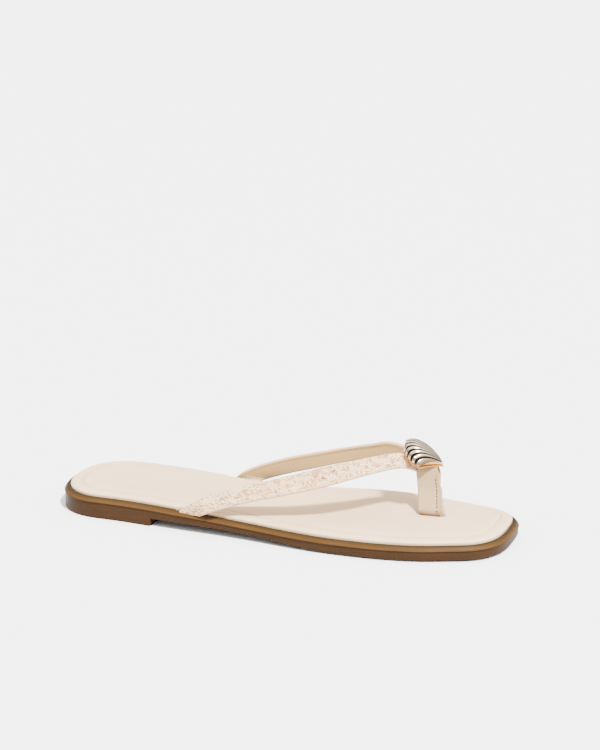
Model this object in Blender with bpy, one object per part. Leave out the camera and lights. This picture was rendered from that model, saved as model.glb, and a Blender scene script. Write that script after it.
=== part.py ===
"""A flat toe post sandal, the right one of a pair: moulded outsole, padded insole, a V of two straps that is
sewn into the loop of the toe post, and a cast scallop shell over the join.

Units are metres. +X runs from heel to toe, +Y to the inner side of the foot (big toe), +Z up. The origin is on
the floor, under the middle of the heel. Run with: blender --background --python part.py
"""

import math

import bmesh
import bpy
import numpy as np
from mathutils import Vector

# Insole, the shape of the last's underside
INSOLE_LENGTH = 0.255
BALL_WIDTH = 0.0818
HEEL_CENTRE = 0.035
HEEL_ROUND = 0.028
HEEL_SQUARENESS = 2.3
TOE_ROUND = 0.024
TOE_SQUARENESS = 3.4
TOE_TIP_INWARD = 0.008
INSOLE_EDGE_HEIGHT = 0.0037
INSOLE_BOTTOM_ROUND = 0.0005
INSOLE_PAD_RISE = 0.0005
INSOLE_PAD_INSET = 0.0072
INSOLE_PAD_SLOPE = 0.0014
INSOLE_CROWN = 0.0003

# Outsole
RIM_WIDTH = 0.0038
RIM_BEVEL = 0.0020
LIP_DROP = 0.0025
LIP_STEP = 0.0004
BOTTOM_ROUND = 0.0008
TRAY_DEPTH = 0.0015
HEEL_HEIGHT = 0.0119
BALL_HEIGHT = 0.0084
TOE_HEIGHT = 0.0088
TOE_RISE_START = 0.72
TOE_RISE_POWER = 1.6
TOE_SPRING = 0.0006
TOE_SPRING_START = 0.80
TOE_SPRING_POWER = 1.8
ARCH_LIFT = 0.0044
EDGE_LIFT = 0.0014
TREAD_INSET = 0.0062
TREAD_SLOPE = 0.0010
HEEL_BREAST = 0.060
BREAST_SLOPE = 0.0006

# Tread grooves of the outsole
TREAD_WIDTH = 0.0022
TREAD_DEPTH = 0.0008
TREAD_PITCH = 0.0075
TREAD_MARGIN = 0.0090
HEEL_TREADS = 4
BALL_TREADS = 8
BALL_TREAD_CENTRE = 0.725

# Straps
STRAP_WALL = 0.0020
STRAP_EDGE_ROUND = 0.0005
STRAP_HEIGHT = 0.045
STRAP_TAB = 0.010
STRAP_OUTSET = 0.0012
STRAP_TURN = 0.0019
TURN_STEPS = 6
TAB_SINK = 0.0001
OUTER_ANCHOR_BACK = 0.3020 * INSOLE_LENGTH
OUTER_ANCHOR_FRONT = 0.3549 * INSOLE_LENGTH
INNER_ANCHOR_BACK = 0.3353 * INSOLE_LENGTH
INNER_ANCHOR_FRONT = 0.3941 * INSOLE_LENGTH
STRAP_TIP_OVERLAP = 0.0005

# Where the straps end inside the loop of the post
JOIN_ALONG = 0.80824 * INSOLE_LENGTH
JOIN_SIDE = 0.19071 * BALL_WIDTH
JOIN_HEIGHT = 0.76444 * STRAP_HEIGHT
JOIN_BAND = 0.0060
JOIN_LENGTH = 0.0125
JOIN_AHEAD = (-0.52, 0.0, 0.3)
JOIN_LEAN = 24.0
JOIN_TILT = 0.2

# Toe post
POST_BASE_ALONG = 0.82549 * INSOLE_LENGTH
POST_BASE_SIDE = 0.04768 * BALL_WIDTH
POST_BAND_WIDTH = 0.0125
POST_WALL = 0.0014
POST_SLIT = 0.0003
POST_DEPTH = 0.0030
POST_UPRIGHT = 0.0008
POST_BOW = 0.20
POST_GATHER = 0.48
POST_SPREAD_FROM = 0.75
POST_STEPS = 9
LOOP_FLAT = 0.7
LOOP_CLEAR = 1.5

# Shell
SHELL_RADIUS = 0.0110
SHELL_DOME = 0.0072
SHELL_WALL = 0.0012
SHELL_EDGE = 0.0011
SHELL_SADDLE = 0.0023
SHELL_SLOPE = 20.4
SHELL_RIBS = 13
SHELL_RIB_STEPS = 4
SHELL_RIB_RISE = 0.0005
SHELL_RIB_FADE = 2.5
SHELL_TIP_AHEAD = 0.0084
SHELL_TIP_ASIDE = 0.0003
SHELL_TIP_ABOVE = 0.0024
SHELL_FAN = 49.0
SHELL_ROUNDNESS = 0.9
SHELL_PEAK = 0.78
SHELL_TIP_POWER = 0.9
SHELL_MARGIN_POWER = 4
SHELL_SIDE_POWER = 2.8
SHELL_SIDE_ROOT = 0.55
SHELL_FIRST_REACH = 0.05
SHELL_REACH_STEPS = 12
SHELL_REACH_POWER = 1.35

GAP = 0.0003
STATIONS = 44
ROW_STEPS = 5

# Plan of the insole: where along its length, and how far each side stands from the middle line, as a share of
# the ball width
SIDES = (
    # along, inner, outer
    (0.00, 0.368, 0.366),
    (0.14, 0.377, 0.370),
    (0.22, 0.358, 0.390),
    (0.31, 0.332, 0.417),
    (0.39, 0.311, 0.432),
    (0.47, 0.327, 0.455),
    (0.55, 0.386, 0.488),
    (0.63, 0.449, 0.513),
    (0.71, 0.482, 0.517),
    (0.78, 0.465, 0.503),
    (0.85, 0.421, 0.462),
    (0.92, 0.372, 0.383),
    (1.00, 0.306, 0.296),
)

# Side view of the sole: height of the rim between the ball's (0) and the heel's (1), height of the tread
# between the floor (0) and the arch (1), and how far the wall's foot stands above the tread, as a share of the
# edge lift
HEIGHTS = (
    # along, rim, arch, edge
    (0.00, 1.00, 1.00, 0.00),
    (0.18, 1.00, 1.00, 0.00),
    (0.25, 0.95, 1.00, 0.00),
    (0.35, 0.70, 0.95, 0.10),
    (0.45, 0.38, 0.72, 0.45),
    (0.54, 0.16, 0.28, 0.95),
    (0.60, 0.06, 0.04, 1.00),
    (0.66, 0.00, 0.00, 0.75),
    (0.80, 0.00, 0.00, 0.66),
    (1.00, 0.00, 0.00, 0.55),
)

# The insole's rolled edge: how far inside, and height as a share of the edge's
INSOLE_ROLL = (
    (0.0, 0.55),
    (0.0004, 0.83),
    (0.0013, 0.96),
    (0.0028, 1.0),
)

# The lower and the upper edge of each strap, a row for each section: along the insole's length, sideways as a
# share of the ball width, and up as a share of the strap height
OUTER_STRAP = (
    # low_along, low_side, low_up, high_along, high_side, high_up
    (0.388, -0.492, 0.321, 0.345, -0.466, 0.416),
    (0.426, -0.481, 0.403, 0.387, -0.418, 0.518),
    (0.488, -0.453, 0.513, 0.450, -0.369, 0.623),
    (0.560, -0.409, 0.617, 0.528, -0.301, 0.741),
    (0.636, -0.326, 0.722, 0.607, -0.217, 0.866),
    (0.699, -0.174, 0.798, 0.677, -0.079, 0.936),
    (0.744, 0.007, 0.804, 0.729, 0.070, 0.958),
    (0.766, 0.093, 0.780, 0.755, 0.136, 0.942),
)
INNER_STRAP = (
    # low_along, low_side, low_up, high_along, high_side, high_up
    (0.416, 0.385, 0.269, 0.369, 0.313, 0.380),
    (0.464, 0.412, 0.360, 0.421, 0.314, 0.516),
    (0.516, 0.424, 0.443, 0.480, 0.329, 0.627),
    (0.572, 0.422, 0.545, 0.540, 0.339, 0.718),
    (0.631, 0.400, 0.650, 0.604, 0.329, 0.821),
    (0.687, 0.371, 0.736, 0.664, 0.299, 0.918),
    (0.729, 0.334, 0.798, 0.710, 0.269, 0.990),
    (0.767, 0.286, 0.760, 0.748, 0.266, 0.956),
)


def smooth_rows(rows, steps=ROW_STEPS):
    """A Catmull-Rom curve through the rows: every column is carried smoothly from row to row."""
    rows = np.asarray(rows, float)
    first, last = 2 * rows[0] - rows[1], 2 * rows[-1] - rows[-2]
    padded = np.vstack([first, rows, last])
    share = np.arange(steps)[:, None] / steps
    spans = []
    for p0, p1, p2, p3 in zip(padded, padded[1:], padded[2:], padded[3:]):
        spans.append(0.5 * (2 * p1 + (p2 - p0) * share + (2 * p0 - 5 * p1 + 4 * p2 - p3) * share**2
                            + (3 * p1 - p0 - 3 * p2 + p3) * share**3))
    return np.vstack([*spans, rows[-1:]])


def table_value(table, column, along):
    """A column of a table, read smoothly at shares of the length."""
    curve = smooth_rows(table)
    return np.interp(along, curve[:, 0], curve[:, column])


def stations():
    """Distances from the back of the insole, close together at the round ends and doubled at the heel breast."""
    even = (1 - np.cos(np.linspace(0, np.pi, STATIONS))) / 2 * INSOLE_LENGTH
    away = np.abs(even - HEEL_BREAST) > 2 * BREAST_SLOPE
    return np.sort(np.concatenate([even[away], [HEEL_BREAST, HEEL_BREAST + BREAST_SLOPE]]))


def half_widths(x):
    """Distance of the inner and the outer side from the middle line, rounded off at heel and toe."""
    along = x / INSOLE_LENGTH
    heel = np.clip((HEEL_ROUND - x) / HEEL_ROUND, 0, 1)
    toe = np.clip((x - INSOLE_LENGTH + TOE_ROUND) / TOE_ROUND, 0, 1)
    heel_share = (1 - heel**HEEL_SQUARENESS) ** (1 / HEEL_SQUARENESS)
    toe_share = (1 - toe**TOE_SQUARENESS) ** (1 / TOE_SQUARENESS)
    rounding = heel_share * toe_share
    tip = TOE_TIP_INWARD * (1 - toe_share)
    inner = table_value(SIDES, 1, along) * BALL_WIDTH * rounding + tip
    outer = table_value(SIDES, 2, along) * BALL_WIDTH * rounding - tip
    return inner, outer


def insole_edge(x, side):
    """The y of the insole's edge at distance x from its back; side is 1 for the inner and -1 for the outer."""
    inner, outer = half_widths(np.atleast_1d(np.asarray(x, float)))
    return inner if side > 0 else -outer


def plan_loop(x, inset=0.0):
    """The insole's outline as one loop, outer side first, moved inwards by inset along its normals."""
    inner, outer = half_widths(x)
    loop = np.column_stack([np.append(x, x[-2:0:-1]), np.append(-outer, inner[-2:0:-1])])
    along = np.roll(loop, -1, 0) - np.roll(loop, 1, 0)
    inward = np.column_stack([-along[:, 1], along[:, 0]]) / np.linalg.norm(along, axis=1)[:, None]
    return loop + inward * inset


def rim_height(x):
    """Height of the rim's top over the floor."""
    along = np.clip(x / INSOLE_LENGTH, 0, 1)
    seat = BALL_HEIGHT + (HEEL_HEIGHT - BALL_HEIGHT) * table_value(HEIGHTS, 1, along)
    toe = np.clip((along - TOE_RISE_START) / (1 - TOE_RISE_START), 0, 1)
    return seat + (TOE_HEIGHT - BALL_HEIGHT) * toe**TOE_RISE_POWER


def sole_bottom(x):
    """Height of the underside over the floor: heel block, arch, flat tread and toe spring."""
    along = np.clip(x / INSOLE_LENGTH, 0, 1)
    arch = ARCH_LIFT * table_value(HEIGHTS, 2, along) * (x > HEEL_BREAST + BREAST_SLOPE / 2)
    toe = np.clip((along - TOE_SPRING_START) / (1 - TOE_SPRING_START), 0, 1)
    return np.maximum(arch, 0) + TOE_SPRING * toe**TOE_SPRING_POWER


def wall_foot(x):
    """Height of the wall's foot over the floor: that of the tread at the heel, and above it in front."""
    lift = table_value(HEIGHTS, 3, np.clip(x / INSOLE_LENGTH, 0, 1))
    return sole_bottom(x) + EDGE_LIFT * np.maximum(lift, 0)


def tray_floor(x):
    """Height of the outsole's tray, in which the insole lies."""
    return rim_height(x) - TRAY_DEPTH


def to_frame(points):
    """Moves points measured from the back of the insole to the part's frame."""
    return np.asarray(points, float) - [HEEL_CENTRE, 0, 0]


def material(name, colour, roughness, metallic=0.0):
    """A plain Principled material."""
    made = bpy.data.materials.new(name)
    made.use_nodes = True
    shader = made.node_tree.nodes["Principled BSDF"]
    shader.inputs["Base Color"].default_value = (*colour, 1)
    shader.inputs["Roughness"].default_value = roughness
    shader.inputs["Metallic"].default_value = metallic
    return made


def solid(name, rings, caps, finish, collection, smooth_angle=35.0):
    """A closed mesh lofted over rings of equal count. caps says how each end is closed: face or ladder."""
    rings = [to_frame(ring) for ring in rings]
    shape = bmesh.new()
    rows = [[shape.verts.new(p) for p in ring] for ring in rings]
    for low, high in zip(rows, rows[1:]):
        for i in range(len(low)):
            j = (i + 1) % len(low)
            shape.faces.new((low[i], low[j], high[j]))
            shape.faces.new((low[i], high[j], high[i]))
    for row, cap in ((rows[0], caps[0]), (rows[-1], caps[1])):
        if cap == "face":
            shape.faces.new(row)
        else:
            half = len(row) // 2
            for i in range(half):
                corners = (row[i], row[i + 1], row[-i - 1], row[-i % len(row)])
                shape.faces.new(tuple(dict.fromkeys(corners)))
    bmesh.ops.triangulate(shape, faces=[f for f in shape.faces if len(f.verts) > 4])
    return finished(name, shape, finish, collection, smooth_angle)


def finished(name, shape, finish, collection, smooth_angle=35.0):
    """Turns a bmesh into an object with outward faces, one material and smooth shading."""
    bmesh.ops.recalc_face_normals(shape, faces=shape.faces)
    mesh = bpy.data.meshes.new(name)
    shape.to_mesh(mesh)
    shape.free()
    mesh.shade_smooth()
    mesh.set_sharp_from_angle(angle=math.radians(smooth_angle))
    made = bpy.data.objects.new(name, mesh)
    if finish:
        mesh.materials.append(finish)
    collection.objects.link(made)
    return made


def cutter(made):
    """Marks an object as a tool that only cuts."""
    made.hide_render = True
    made.display_type = "WIRE"
    return made


def boolean(target, other, operation):
    """Adds a Boolean and applies it, so that the next one works on a plain mesh."""
    change = target.modifiers.new(operation.lower(), "BOOLEAN")
    change.operation = operation
    change.object = other
    change.solver = "EXACT"
    change.use_self = True
    graph = bpy.context.evaluated_depsgraph_get()
    mesh = bpy.data.meshes.new_from_object(target.evaluated_get(graph), depsgraph=graph)
    target.modifiers.clear()
    target.data = mesh


def drop_crumbs(target):
    """Keeps the largest body of a cut piece: a cut that grazes a face can leave grains of a tenth of a mm."""
    shape = bmesh.new()
    shape.from_mesh(target.data)
    left, bodies = set(shape.verts), []
    while left:
        body, edge = set(), {left.pop()}
        while edge:
            body |= edge
            edge = {e.other_vert(v) for v in edge for e in v.link_edges} - body
        bodies.append(body)
        left -= body
    largest = max(bodies, key=len)
    bmesh.ops.delete(shape, geom=[v for body in bodies if body is not largest for v in body], context="VERTS")
    shape.to_mesh(target.data)
    shape.free()


def ladder_cap_ring(x, inset, height):
    """A ring of the sole: the outline at an inset, at a height that is a function of the distance x."""
    loop = plan_loop(x, inset)
    at = np.append(x, x[-2:0:-1])
    return np.column_stack([loop, height(at)])


def build_outsole(finish, collection):
    """The moulded sole: tread, edge that stands above it, wall, lip, bevel, rim and the tray for the insole."""
    x = stations()
    profile = (
        # how far inside the wall, and height
        (TREAD_INSET, sole_bottom),
        (TREAD_INSET - TREAD_SLOPE, wall_foot),
        (LIP_STEP + BOTTOM_ROUND, wall_foot),
        (LIP_STEP, lambda v: wall_foot(v) + BOTTOM_ROUND),
        (LIP_STEP, lambda v: rim_height(v) - LIP_DROP - LIP_STEP),
        (0.0, lambda v: rim_height(v) - LIP_DROP),
        (RIM_BEVEL, rim_height),
        (RIM_WIDTH - GAP, rim_height),
        (RIM_WIDTH - GAP, tray_floor),
    )
    rings = [ladder_cap_ring(x, inside - RIM_WIDTH, height) for inside, height in profile]
    return solid("outsole", rings, ("ladder", "ladder"), finish, collection)


def build_insole(finish, collection):
    """The padded insole: rolled edge, a pressed line round it and the pad inside the line."""
    x = stations()
    pad = INSOLE_EDGE_HEIGHT + INSOLE_PAD_RISE
    profile = (
        # inset and height over the insole's underside
        (INSOLE_BOTTOM_ROUND, 0.0),
        (0.0, INSOLE_BOTTOM_ROUND),
        *((inside, share * INSOLE_EDGE_HEIGHT) for inside, share in INSOLE_ROLL),
        (INSOLE_PAD_INSET - INSOLE_PAD_SLOPE, INSOLE_EDGE_HEIGHT),
        (INSOLE_PAD_INSET, pad),
        (2 * INSOLE_PAD_INSET, pad + INSOLE_CROWN),
    )
    rings = [ladder_cap_ring(x, inset, lambda v, up=up: tray_floor(v) + GAP + up) for inset, up in profile]
    return solid("insole", rings, ("ladder", "ladder"), finish, collection)


def ribbon_rings(low, high, wall, grow=0.0):
    """Sections of a band between its two edges. grow widens and thickens it on every side."""
    across = high - low
    along = np.gradient((low + high) / 2, axis=0)
    outward = np.cross(along, across)
    outward /= np.linalg.norm(outward, axis=1)[:, None]
    width = np.linalg.norm(across, axis=1)
    across = across / width[:, None]
    middle = (low + high) / 2
    half, thick, soft = width / 2 + grow, wall / 2 + grow, STRAP_EDGE_ROUND
    corners = ((-1, -1, 0, 1), (-1, -1, 1, 0), (-1, 1, 1, 0), (-1, 1, 0, 1),
               (1, 1, 0, 1), (1, 1, 1, 0), (1, -1, 1, 0), (1, -1, 0, 1))
    points = [middle + across * (side * (half - soft * inwards))[:, None] + outward * face * (thick - soft * thinner)
              for side, face, thinner, inwards in corners]
    return np.stack(points, axis=1)


def strap_rails(table, side, back, front, far):
    """The lower and upper edge of a strap: tab under the insole, turn at its edge, then the table's rows.

    far is a row that ends the strap, as its two edge points."""
    size = np.array([INSOLE_LENGTH, BALL_WIDTH, STRAP_HEIGHT] * 2)
    rows = np.array(table) * size
    anchors = np.array([front, back])
    edge = insole_edge(anchors, side) + side * STRAP_OUTSET
    floor = tray_floor(anchors) - TAB_SINK - STRAP_WALL / 2
    tab = np.array([[STRAP_TAB, 0.0]])
    angles = np.linspace(0, math.pi / 2, TURN_STEPS)
    turn = np.column_stack([1 - np.sin(angles), 1 - np.cos(angles)]) * STRAP_TURN
    start = [(anchors[0], edge[0] - side * inside, floor[0] + up, anchors[1], edge[1] - side * inside, floor[1] + up)
             for inside, up in np.vstack([tab, turn])]
    rest = smooth_rows(np.vstack([start[-1], rows, far]))
    rails = np.vstack([start[:-1], rest])
    return rails[:, :3], rails[:, 3:]


def join_frame():
    """Middle of the join in the post's loop, and its upward direction."""
    lean = math.radians(JOIN_LEAN)
    up = np.array([-JOIN_TILT, math.sin(lean), math.cos(lean)])
    return np.array([JOIN_ALONG, JOIN_SIDE, JOIN_HEIGHT]), up / np.linalg.norm(up)


def join_rows(side):
    """The end of a strap in the loop: flat against the other strap, running to the toe."""
    middle, up = join_frame()
    out = np.cross([1, 0, 0], up)
    out = -out * side * np.sign(out[1])
    shift = -out * (STRAP_WALL - STRAP_TIP_OVERLAP) / 2
    rows = []
    for ahead in JOIN_AHEAD:
        at = middle + shift + np.array([ahead * JOIN_LENGTH, 0, 0])
        rows.append((*(at - up * JOIN_BAND / 2), *(at + up * JOIN_BAND / 2)))
    return np.array(rows)


def build_straps(finish, collection):
    """Both straps, joined at their front ends, and the cutters that clear their tabs."""
    outer = strap_rails(OUTER_STRAP, -1, OUTER_ANCHOR_BACK, OUTER_ANCHOR_FRONT, join_rows(-1))
    inner = strap_rails(INNER_STRAP, 1, INNER_ANCHOR_BACK, INNER_ANCHOR_FRONT, join_rows(1))
    made = [solid(name, ribbon_rings(*rails, STRAP_WALL), ("face", "face"), finish, collection)
            for name, rails in (("straps", outer), ("inner_half", inner))]
    boolean(made[0], made[1], "UNION")
    bpy.data.objects.remove(made[1])
    return made[0], (outer, inner)


def tab_cutters(rails, collection):
    """The tab and turn of each strap, grown by the gap."""
    cutters = []
    for name, (low, high) in zip(("outer_tab_cut", "inner_tab_cut"), rails):
        near = TURN_STEPS + 1 + ROW_STEPS
        inward = (low[0] - low[1]) / np.linalg.norm(low[0] - low[1]) * GAP
        low, high = np.vstack([low[0] + inward, low[1:near]]), np.vstack([high[0] + inward, high[1:near]])
        rings = ribbon_rings(low, high, STRAP_WALL, GAP)
        cutters.append(cutter(solid(name, rings, ("face", "face"), None, collection)))
    return cutters


def post_heights():
    """Heights of the post's ends in the outsole, of the insole's top beside it, and of the join's lower end."""
    floor = tray_floor(np.array([POST_BASE_ALONG]))[0]
    top = floor + GAP + INSOLE_EDGE_HEIGHT + INSOLE_PAD_RISE + INSOLE_CROWN
    return floor - POST_DEPTH, top, JOIN_HEIGHT - LOOP_CLEAR * loop_half()


def loop_half():
    """Half the height of the post's loop, on the middle of its wall."""
    return JOIN_BAND / 2 + GAP + POST_WALL / 2


def post_path():
    """Middle line of the post: straight out of its slot, then leaning inwards and back to the join."""
    foot, top, join = post_heights()
    start = top + POST_UPRIGHT
    heights = np.concatenate([[foot], np.linspace(start, join, POST_STEPS)])
    share = np.clip((heights - start) / (JOIN_HEIGHT - start), 0, 1)
    return np.column_stack([POST_BASE_ALONG + (JOIN_ALONG - POST_BASE_ALONG) * share,
                            POST_BASE_SIDE + (JOIN_SIDE - POST_BASE_SIDE) * share * (1 + POST_BOW * (1 - share)),
                            heights])


def post_rings():
    """The folded band of the post: up on the outer side, round the join, down on the inner side."""
    path, (middle, up) = post_path(), join_frame()
    along = np.gradient(path, axis=0)
    along[0] = along[1] = (0, 0, 1)
    out = np.cross(along, [1, 0, 0])
    out /= np.linalg.norm(out, axis=1)[:, None]
    side = np.cross(up, [1, 0, 0])
    side /= np.linalg.norm(side)
    leg, eye = (POST_SLIT + POST_WALL) / 2, STRAP_WALL + GAP + POST_WALL / 2
    share = np.linspace(0, 1, len(path))
    offset = np.interp(share, (0, POST_SPREAD_FROM, 1), (leg, leg, (leg + eye) / 2))[:, None]
    half = loop_half()
    rise, turn = (-LOOP_FLAT, 0.0, LOOP_FLAT), np.linspace(0, math.pi, POST_STEPS)[1:-1]
    loop = [middle - side * eye + up * half * share for share in rise]
    loop += [middle - side * eye * math.cos(a) + up * half * (LOOP_FLAT + (1 - LOOP_FLAT) * math.sin(a))
             for a in turn]
    loop += [middle + side * eye + up * half * share for share in rise[::-1]]
    line = np.vstack([path - out * offset, loop, (path + out * offset)[::-1]])
    narrow = np.concatenate([np.zeros(len(path)), np.sin(np.linspace(0, math.pi, len(loop))), np.zeros(len(path))])
    wide = POST_BAND_WIDTH / 2 * (1 - POST_GATHER * narrow)[:, None] * np.array([1, 0, 0])
    return ribbon_rings(line - wide, line + wide, POST_WALL)


def build_post(finish, collection):
    """The toe post."""
    return solid("toe_post", post_rings(), ("face", "face"), finish, collection)


def post_cutter(collection):
    """The slot for the post's two layers in insole and outsole."""
    foot, top, _ = post_heights()
    half, thick = POST_BAND_WIDTH / 2 + GAP, POST_WALL + POST_SLIT / 2 + GAP
    corners = ((-half, -thick), (half, -thick), (half, thick), (-half, thick))
    rings = [[(POST_BASE_ALONG + dx, POST_BASE_SIDE + dy, height) for dx, dy in corners]
             for height in (foot - GAP, top + GAP)]
    return cutter(solid("post_slot_cut", rings, ("face", "face"), None, collection))


def shell_point(reach, turn, inner):
    """A point of the shell: reach runs from the tip (0) to the margin (1), turn across the ribs (-1 to 1).

    The plan is a fan of rays from the tip, longest in the middle. The height is nought on the whole rim and
    largest past the middle of the rays. The inner face is the same form, drawn in by the wall."""
    angle = math.radians(SHELL_FAN) * turn
    radius = 2 * SHELL_RADIUS * reach * math.cos(angle) ** SHELL_ROUNDNESS
    back, side = radius * math.cos(angle), radius * math.sin(angle)
    along_ray = math.sqrt(reach**SHELL_TIP_POWER * (1 - reach**SHELL_MARGIN_POWER))
    rise = along_ray * (1 - abs(turn) ** SHELL_SIDE_POWER) ** SHELL_SIDE_ROOT / SHELL_PEAK
    rib = SHELL_RIB_RISE * reach * math.cos(math.pi * turn * SHELL_RIBS)
    height = SHELL_DOME * rise + rib * min(1.0, SHELL_RIB_FADE * rise)
    if inner:
        shrink = 1 - SHELL_WALL / SHELL_RADIUS
        back = SHELL_RADIUS + (back - SHELL_RADIUS) * shrink
        side *= shrink
        height = (SHELL_DOME - SHELL_WALL) * rise
    up = height - SHELL_SADDLE * (side / SHELL_RADIUS) ** 2 + back * math.tan(math.radians(SHELL_SLOPE))
    tip = (JOIN_ALONG + SHELL_TIP_AHEAD, JOIN_SIDE + SHELL_TIP_ASIDE, JOIN_HEIGHT + SHELL_TIP_ABOVE)
    return np.array([-back, side, up]) + np.array(tip)


def build_shell(finish, collection):
    """The cast scallop: a ribbed dome with a wall and a plain edge below the ribs, open underneath."""
    shape = bmesh.new()
    turns = np.linspace(-1, 1, SHELL_RIB_STEPS * SHELL_RIBS + 1)
    reaches = 1 - (1 - np.linspace(SHELL_FIRST_REACH, 1, SHELL_REACH_STEPS)) ** SHELL_REACH_POWER
    drop = np.array([0, 0, -SHELL_EDGE])
    grids = []
    for inner in (False, True):
        grid = [[shape.verts.new(to_frame(shell_point(reach, turn, inner) + drop * inner)) for turn in turns]
                for reach in reaches]
        for low, high in zip(grid, grid[1:]):
            for i in range(len(turns) - 1):
                shape.faces.new((low[i], low[i + 1], high[i + 1], high[i]))
        grids.append(grid)
    outer, inner = ([*grid[0], *(row[-1] for row in grid[1:-1]), *grid[-1][::-1],
                     *(row[0] for row in grid[-2:0:-1])] for grid in grids)
    edge = [shape.verts.new(v.co + Vector(drop)) for v in outer]
    for upper, lower in ((outer, edge), (edge, inner)):
        for i in range(len(upper)):
            j = (i + 1) % len(upper)
            shape.faces.new((upper[i], upper[j], lower[j], lower[i]))
    return finished("shell_ornament", shape, finish, collection, 60)


def tread_cutters(collection):
    """Grooves across the heel and the ball, in two groups."""
    groups = (
        # distance of the first groove from the insole's back, and number of grooves
        (HEEL_CENTRE - TREAD_PITCH * (HEEL_TREADS - 1) / 2, HEEL_TREADS),
        (BALL_TREAD_CENTRE * INSOLE_LENGTH - TREAD_PITCH * (BALL_TREADS - 1) / 2, BALL_TREADS),
    )
    made = []
    for start, count in groups:
        for k in range(count):
            x = start + k * TREAD_PITCH
            inner, outer = insole_edge(x, 1)[0] - TREAD_MARGIN, insole_edge(x, -1)[0] + TREAD_MARGIN
            shape = bmesh.new()
            bmesh.ops.create_cube(shape, size=1)
            depth = 2 * TREAD_DEPTH
            bmesh.ops.scale(shape, vec=(TREAD_WIDTH, inner - outer, depth), verts=shape.verts)
            middle = to_frame([x, (inner + outer) / 2, 0])
            bmesh.ops.translate(shape, vec=tuple(middle), verts=shape.verts)
            made.append(cutter(finished(f"tread_cut_{len(made)}", shape, None, collection)))
    return made


def clear_scene():
    """Removes what a new file holds."""
    for old in list(bpy.data.objects):
        bpy.data.objects.remove(old)


def new_collection(name):
    """A collection linked to the scene."""
    made = bpy.data.collections.new(name)
    bpy.context.scene.collection.children.link(made)
    return made


def main():
    clear_scene()
    parts, tools = new_collection("toe_post_sandal"), new_collection("cutters")
    tan = material("tan_rubber", (0.33, 0.18, 0.085), 0.55)
    cream = material("cream_leather", (0.78, 0.70, 0.61), 0.5)
    woven = material("woven_raffia", (0.80, 0.70, 0.58), 0.8)
    gold = material("pale_gold", (0.86, 0.70, 0.48), 0.25, 1.0)
    outsole = build_outsole(tan, parts)
    insole = build_insole(cream, parts)
    _, rails = build_straps(woven, parts)
    build_post(cream, parts)
    build_shell(gold, parts)
    slot = post_cutter(tools)
    for tool in (*tab_cutters(rails, tools), slot):
        boolean(outsole, tool, "DIFFERENCE")
        boolean(insole, tool, "DIFFERENCE")
    for tool in tread_cutters(tools):
        boolean(outsole, tool, "DIFFERENCE")
    drop_crumbs(outsole)
    drop_crumbs(insole)


main()
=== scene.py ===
"""Looks of a flat toe post sandal, the right one of a pair, on the frame that its CAD model gives.

Units are metres. +X runs from heel to toe, +Y to the big toe's side, +Z up; the origin is on the floor under the
middle of the heel. The forms repeat the CAD model's own sizes and tables, on finer grids.
"""

from __future__ import annotations

import logging
import math
from dataclasses import dataclass, field
from enum import Enum

import bmesh
import bpy
import numpy as np
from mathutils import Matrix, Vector

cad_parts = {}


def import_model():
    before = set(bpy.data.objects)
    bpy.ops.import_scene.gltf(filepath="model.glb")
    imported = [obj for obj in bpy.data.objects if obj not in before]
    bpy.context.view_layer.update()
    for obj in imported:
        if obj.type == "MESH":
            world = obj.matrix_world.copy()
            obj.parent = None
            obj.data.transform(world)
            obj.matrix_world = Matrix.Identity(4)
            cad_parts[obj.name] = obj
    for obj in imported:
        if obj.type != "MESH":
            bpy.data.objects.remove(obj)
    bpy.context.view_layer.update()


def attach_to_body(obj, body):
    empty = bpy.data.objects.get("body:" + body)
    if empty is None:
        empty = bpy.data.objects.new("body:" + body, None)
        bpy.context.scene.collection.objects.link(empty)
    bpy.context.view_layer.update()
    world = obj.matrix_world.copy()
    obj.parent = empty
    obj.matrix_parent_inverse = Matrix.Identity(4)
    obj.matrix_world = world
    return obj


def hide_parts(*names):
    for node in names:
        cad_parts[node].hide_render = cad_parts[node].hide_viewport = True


log = logging.getLogger("sandal")

Array = np.ndarray
Colour = tuple[float, float, float]

SAME_PLACE = 1e-7  # metres; two stations nearer than this count as one


class Side(Enum):
    """The two sides of the right shoe."""

    INNER = 1
    OUTER = -1


# Curves and grids


def smooth_rows(rows: Array, steps: int) -> Array:
    """Carry every column of a table smoothly from row to row (Catmull-Rom curve).

    Args:
        rows: One row for each knot.
        steps: Points for each span.

    Returns:
        The finer table, last knot included.
    """
    rows = np.asarray(rows, float)
    padded = np.vstack([2 * rows[0] - rows[1], rows, 2 * rows[-1] - rows[-2]])
    share = (np.arange(steps) / steps)[:, None, None]
    p0, p1, p2, p3 = padded[:-3], padded[1:-2], padded[2:-1], padded[3:]
    spans = 0.5 * (2 * p1 + (p2 - p0) * share + (2 * p0 - 5 * p1 + 4 * p2 - p3) * share**2
                   + (3 * p1 - p0 - 3 * p2 + p3) * share**3)
    fine = np.swapaxes(spans, 0, 1).reshape(-1, rows.shape[1])
    return np.vstack([fine, rows[-1:]])


def smoothstep(low: float, high: float, value: Array) -> Array:
    """Rise from 0 at low to 1 at high, level at both ends."""
    share = np.clip((value - low) / (high - low), 0.0, 1.0)
    return share * share * (3 - 2 * share)


def unit(vectors: Array) -> Array:
    """Scale each vector of an array to length 1."""
    return vectors / np.maximum(np.linalg.norm(vectors, axis=-1, keepdims=True), 1e-12)


def bell(value: Array, width: float) -> Array:
    """A bell curve: e to the minus square of value over width, so 1 where the value is 0."""
    return np.exp(-((value / width) ** 2))


def run_length(points: Array) -> Array:
    """Distance of each point of a polyline from its start, measured along it."""
    return np.concatenate([[0.0], np.cumsum(np.linalg.norm(np.diff(points, axis=0), axis=1))])


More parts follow.
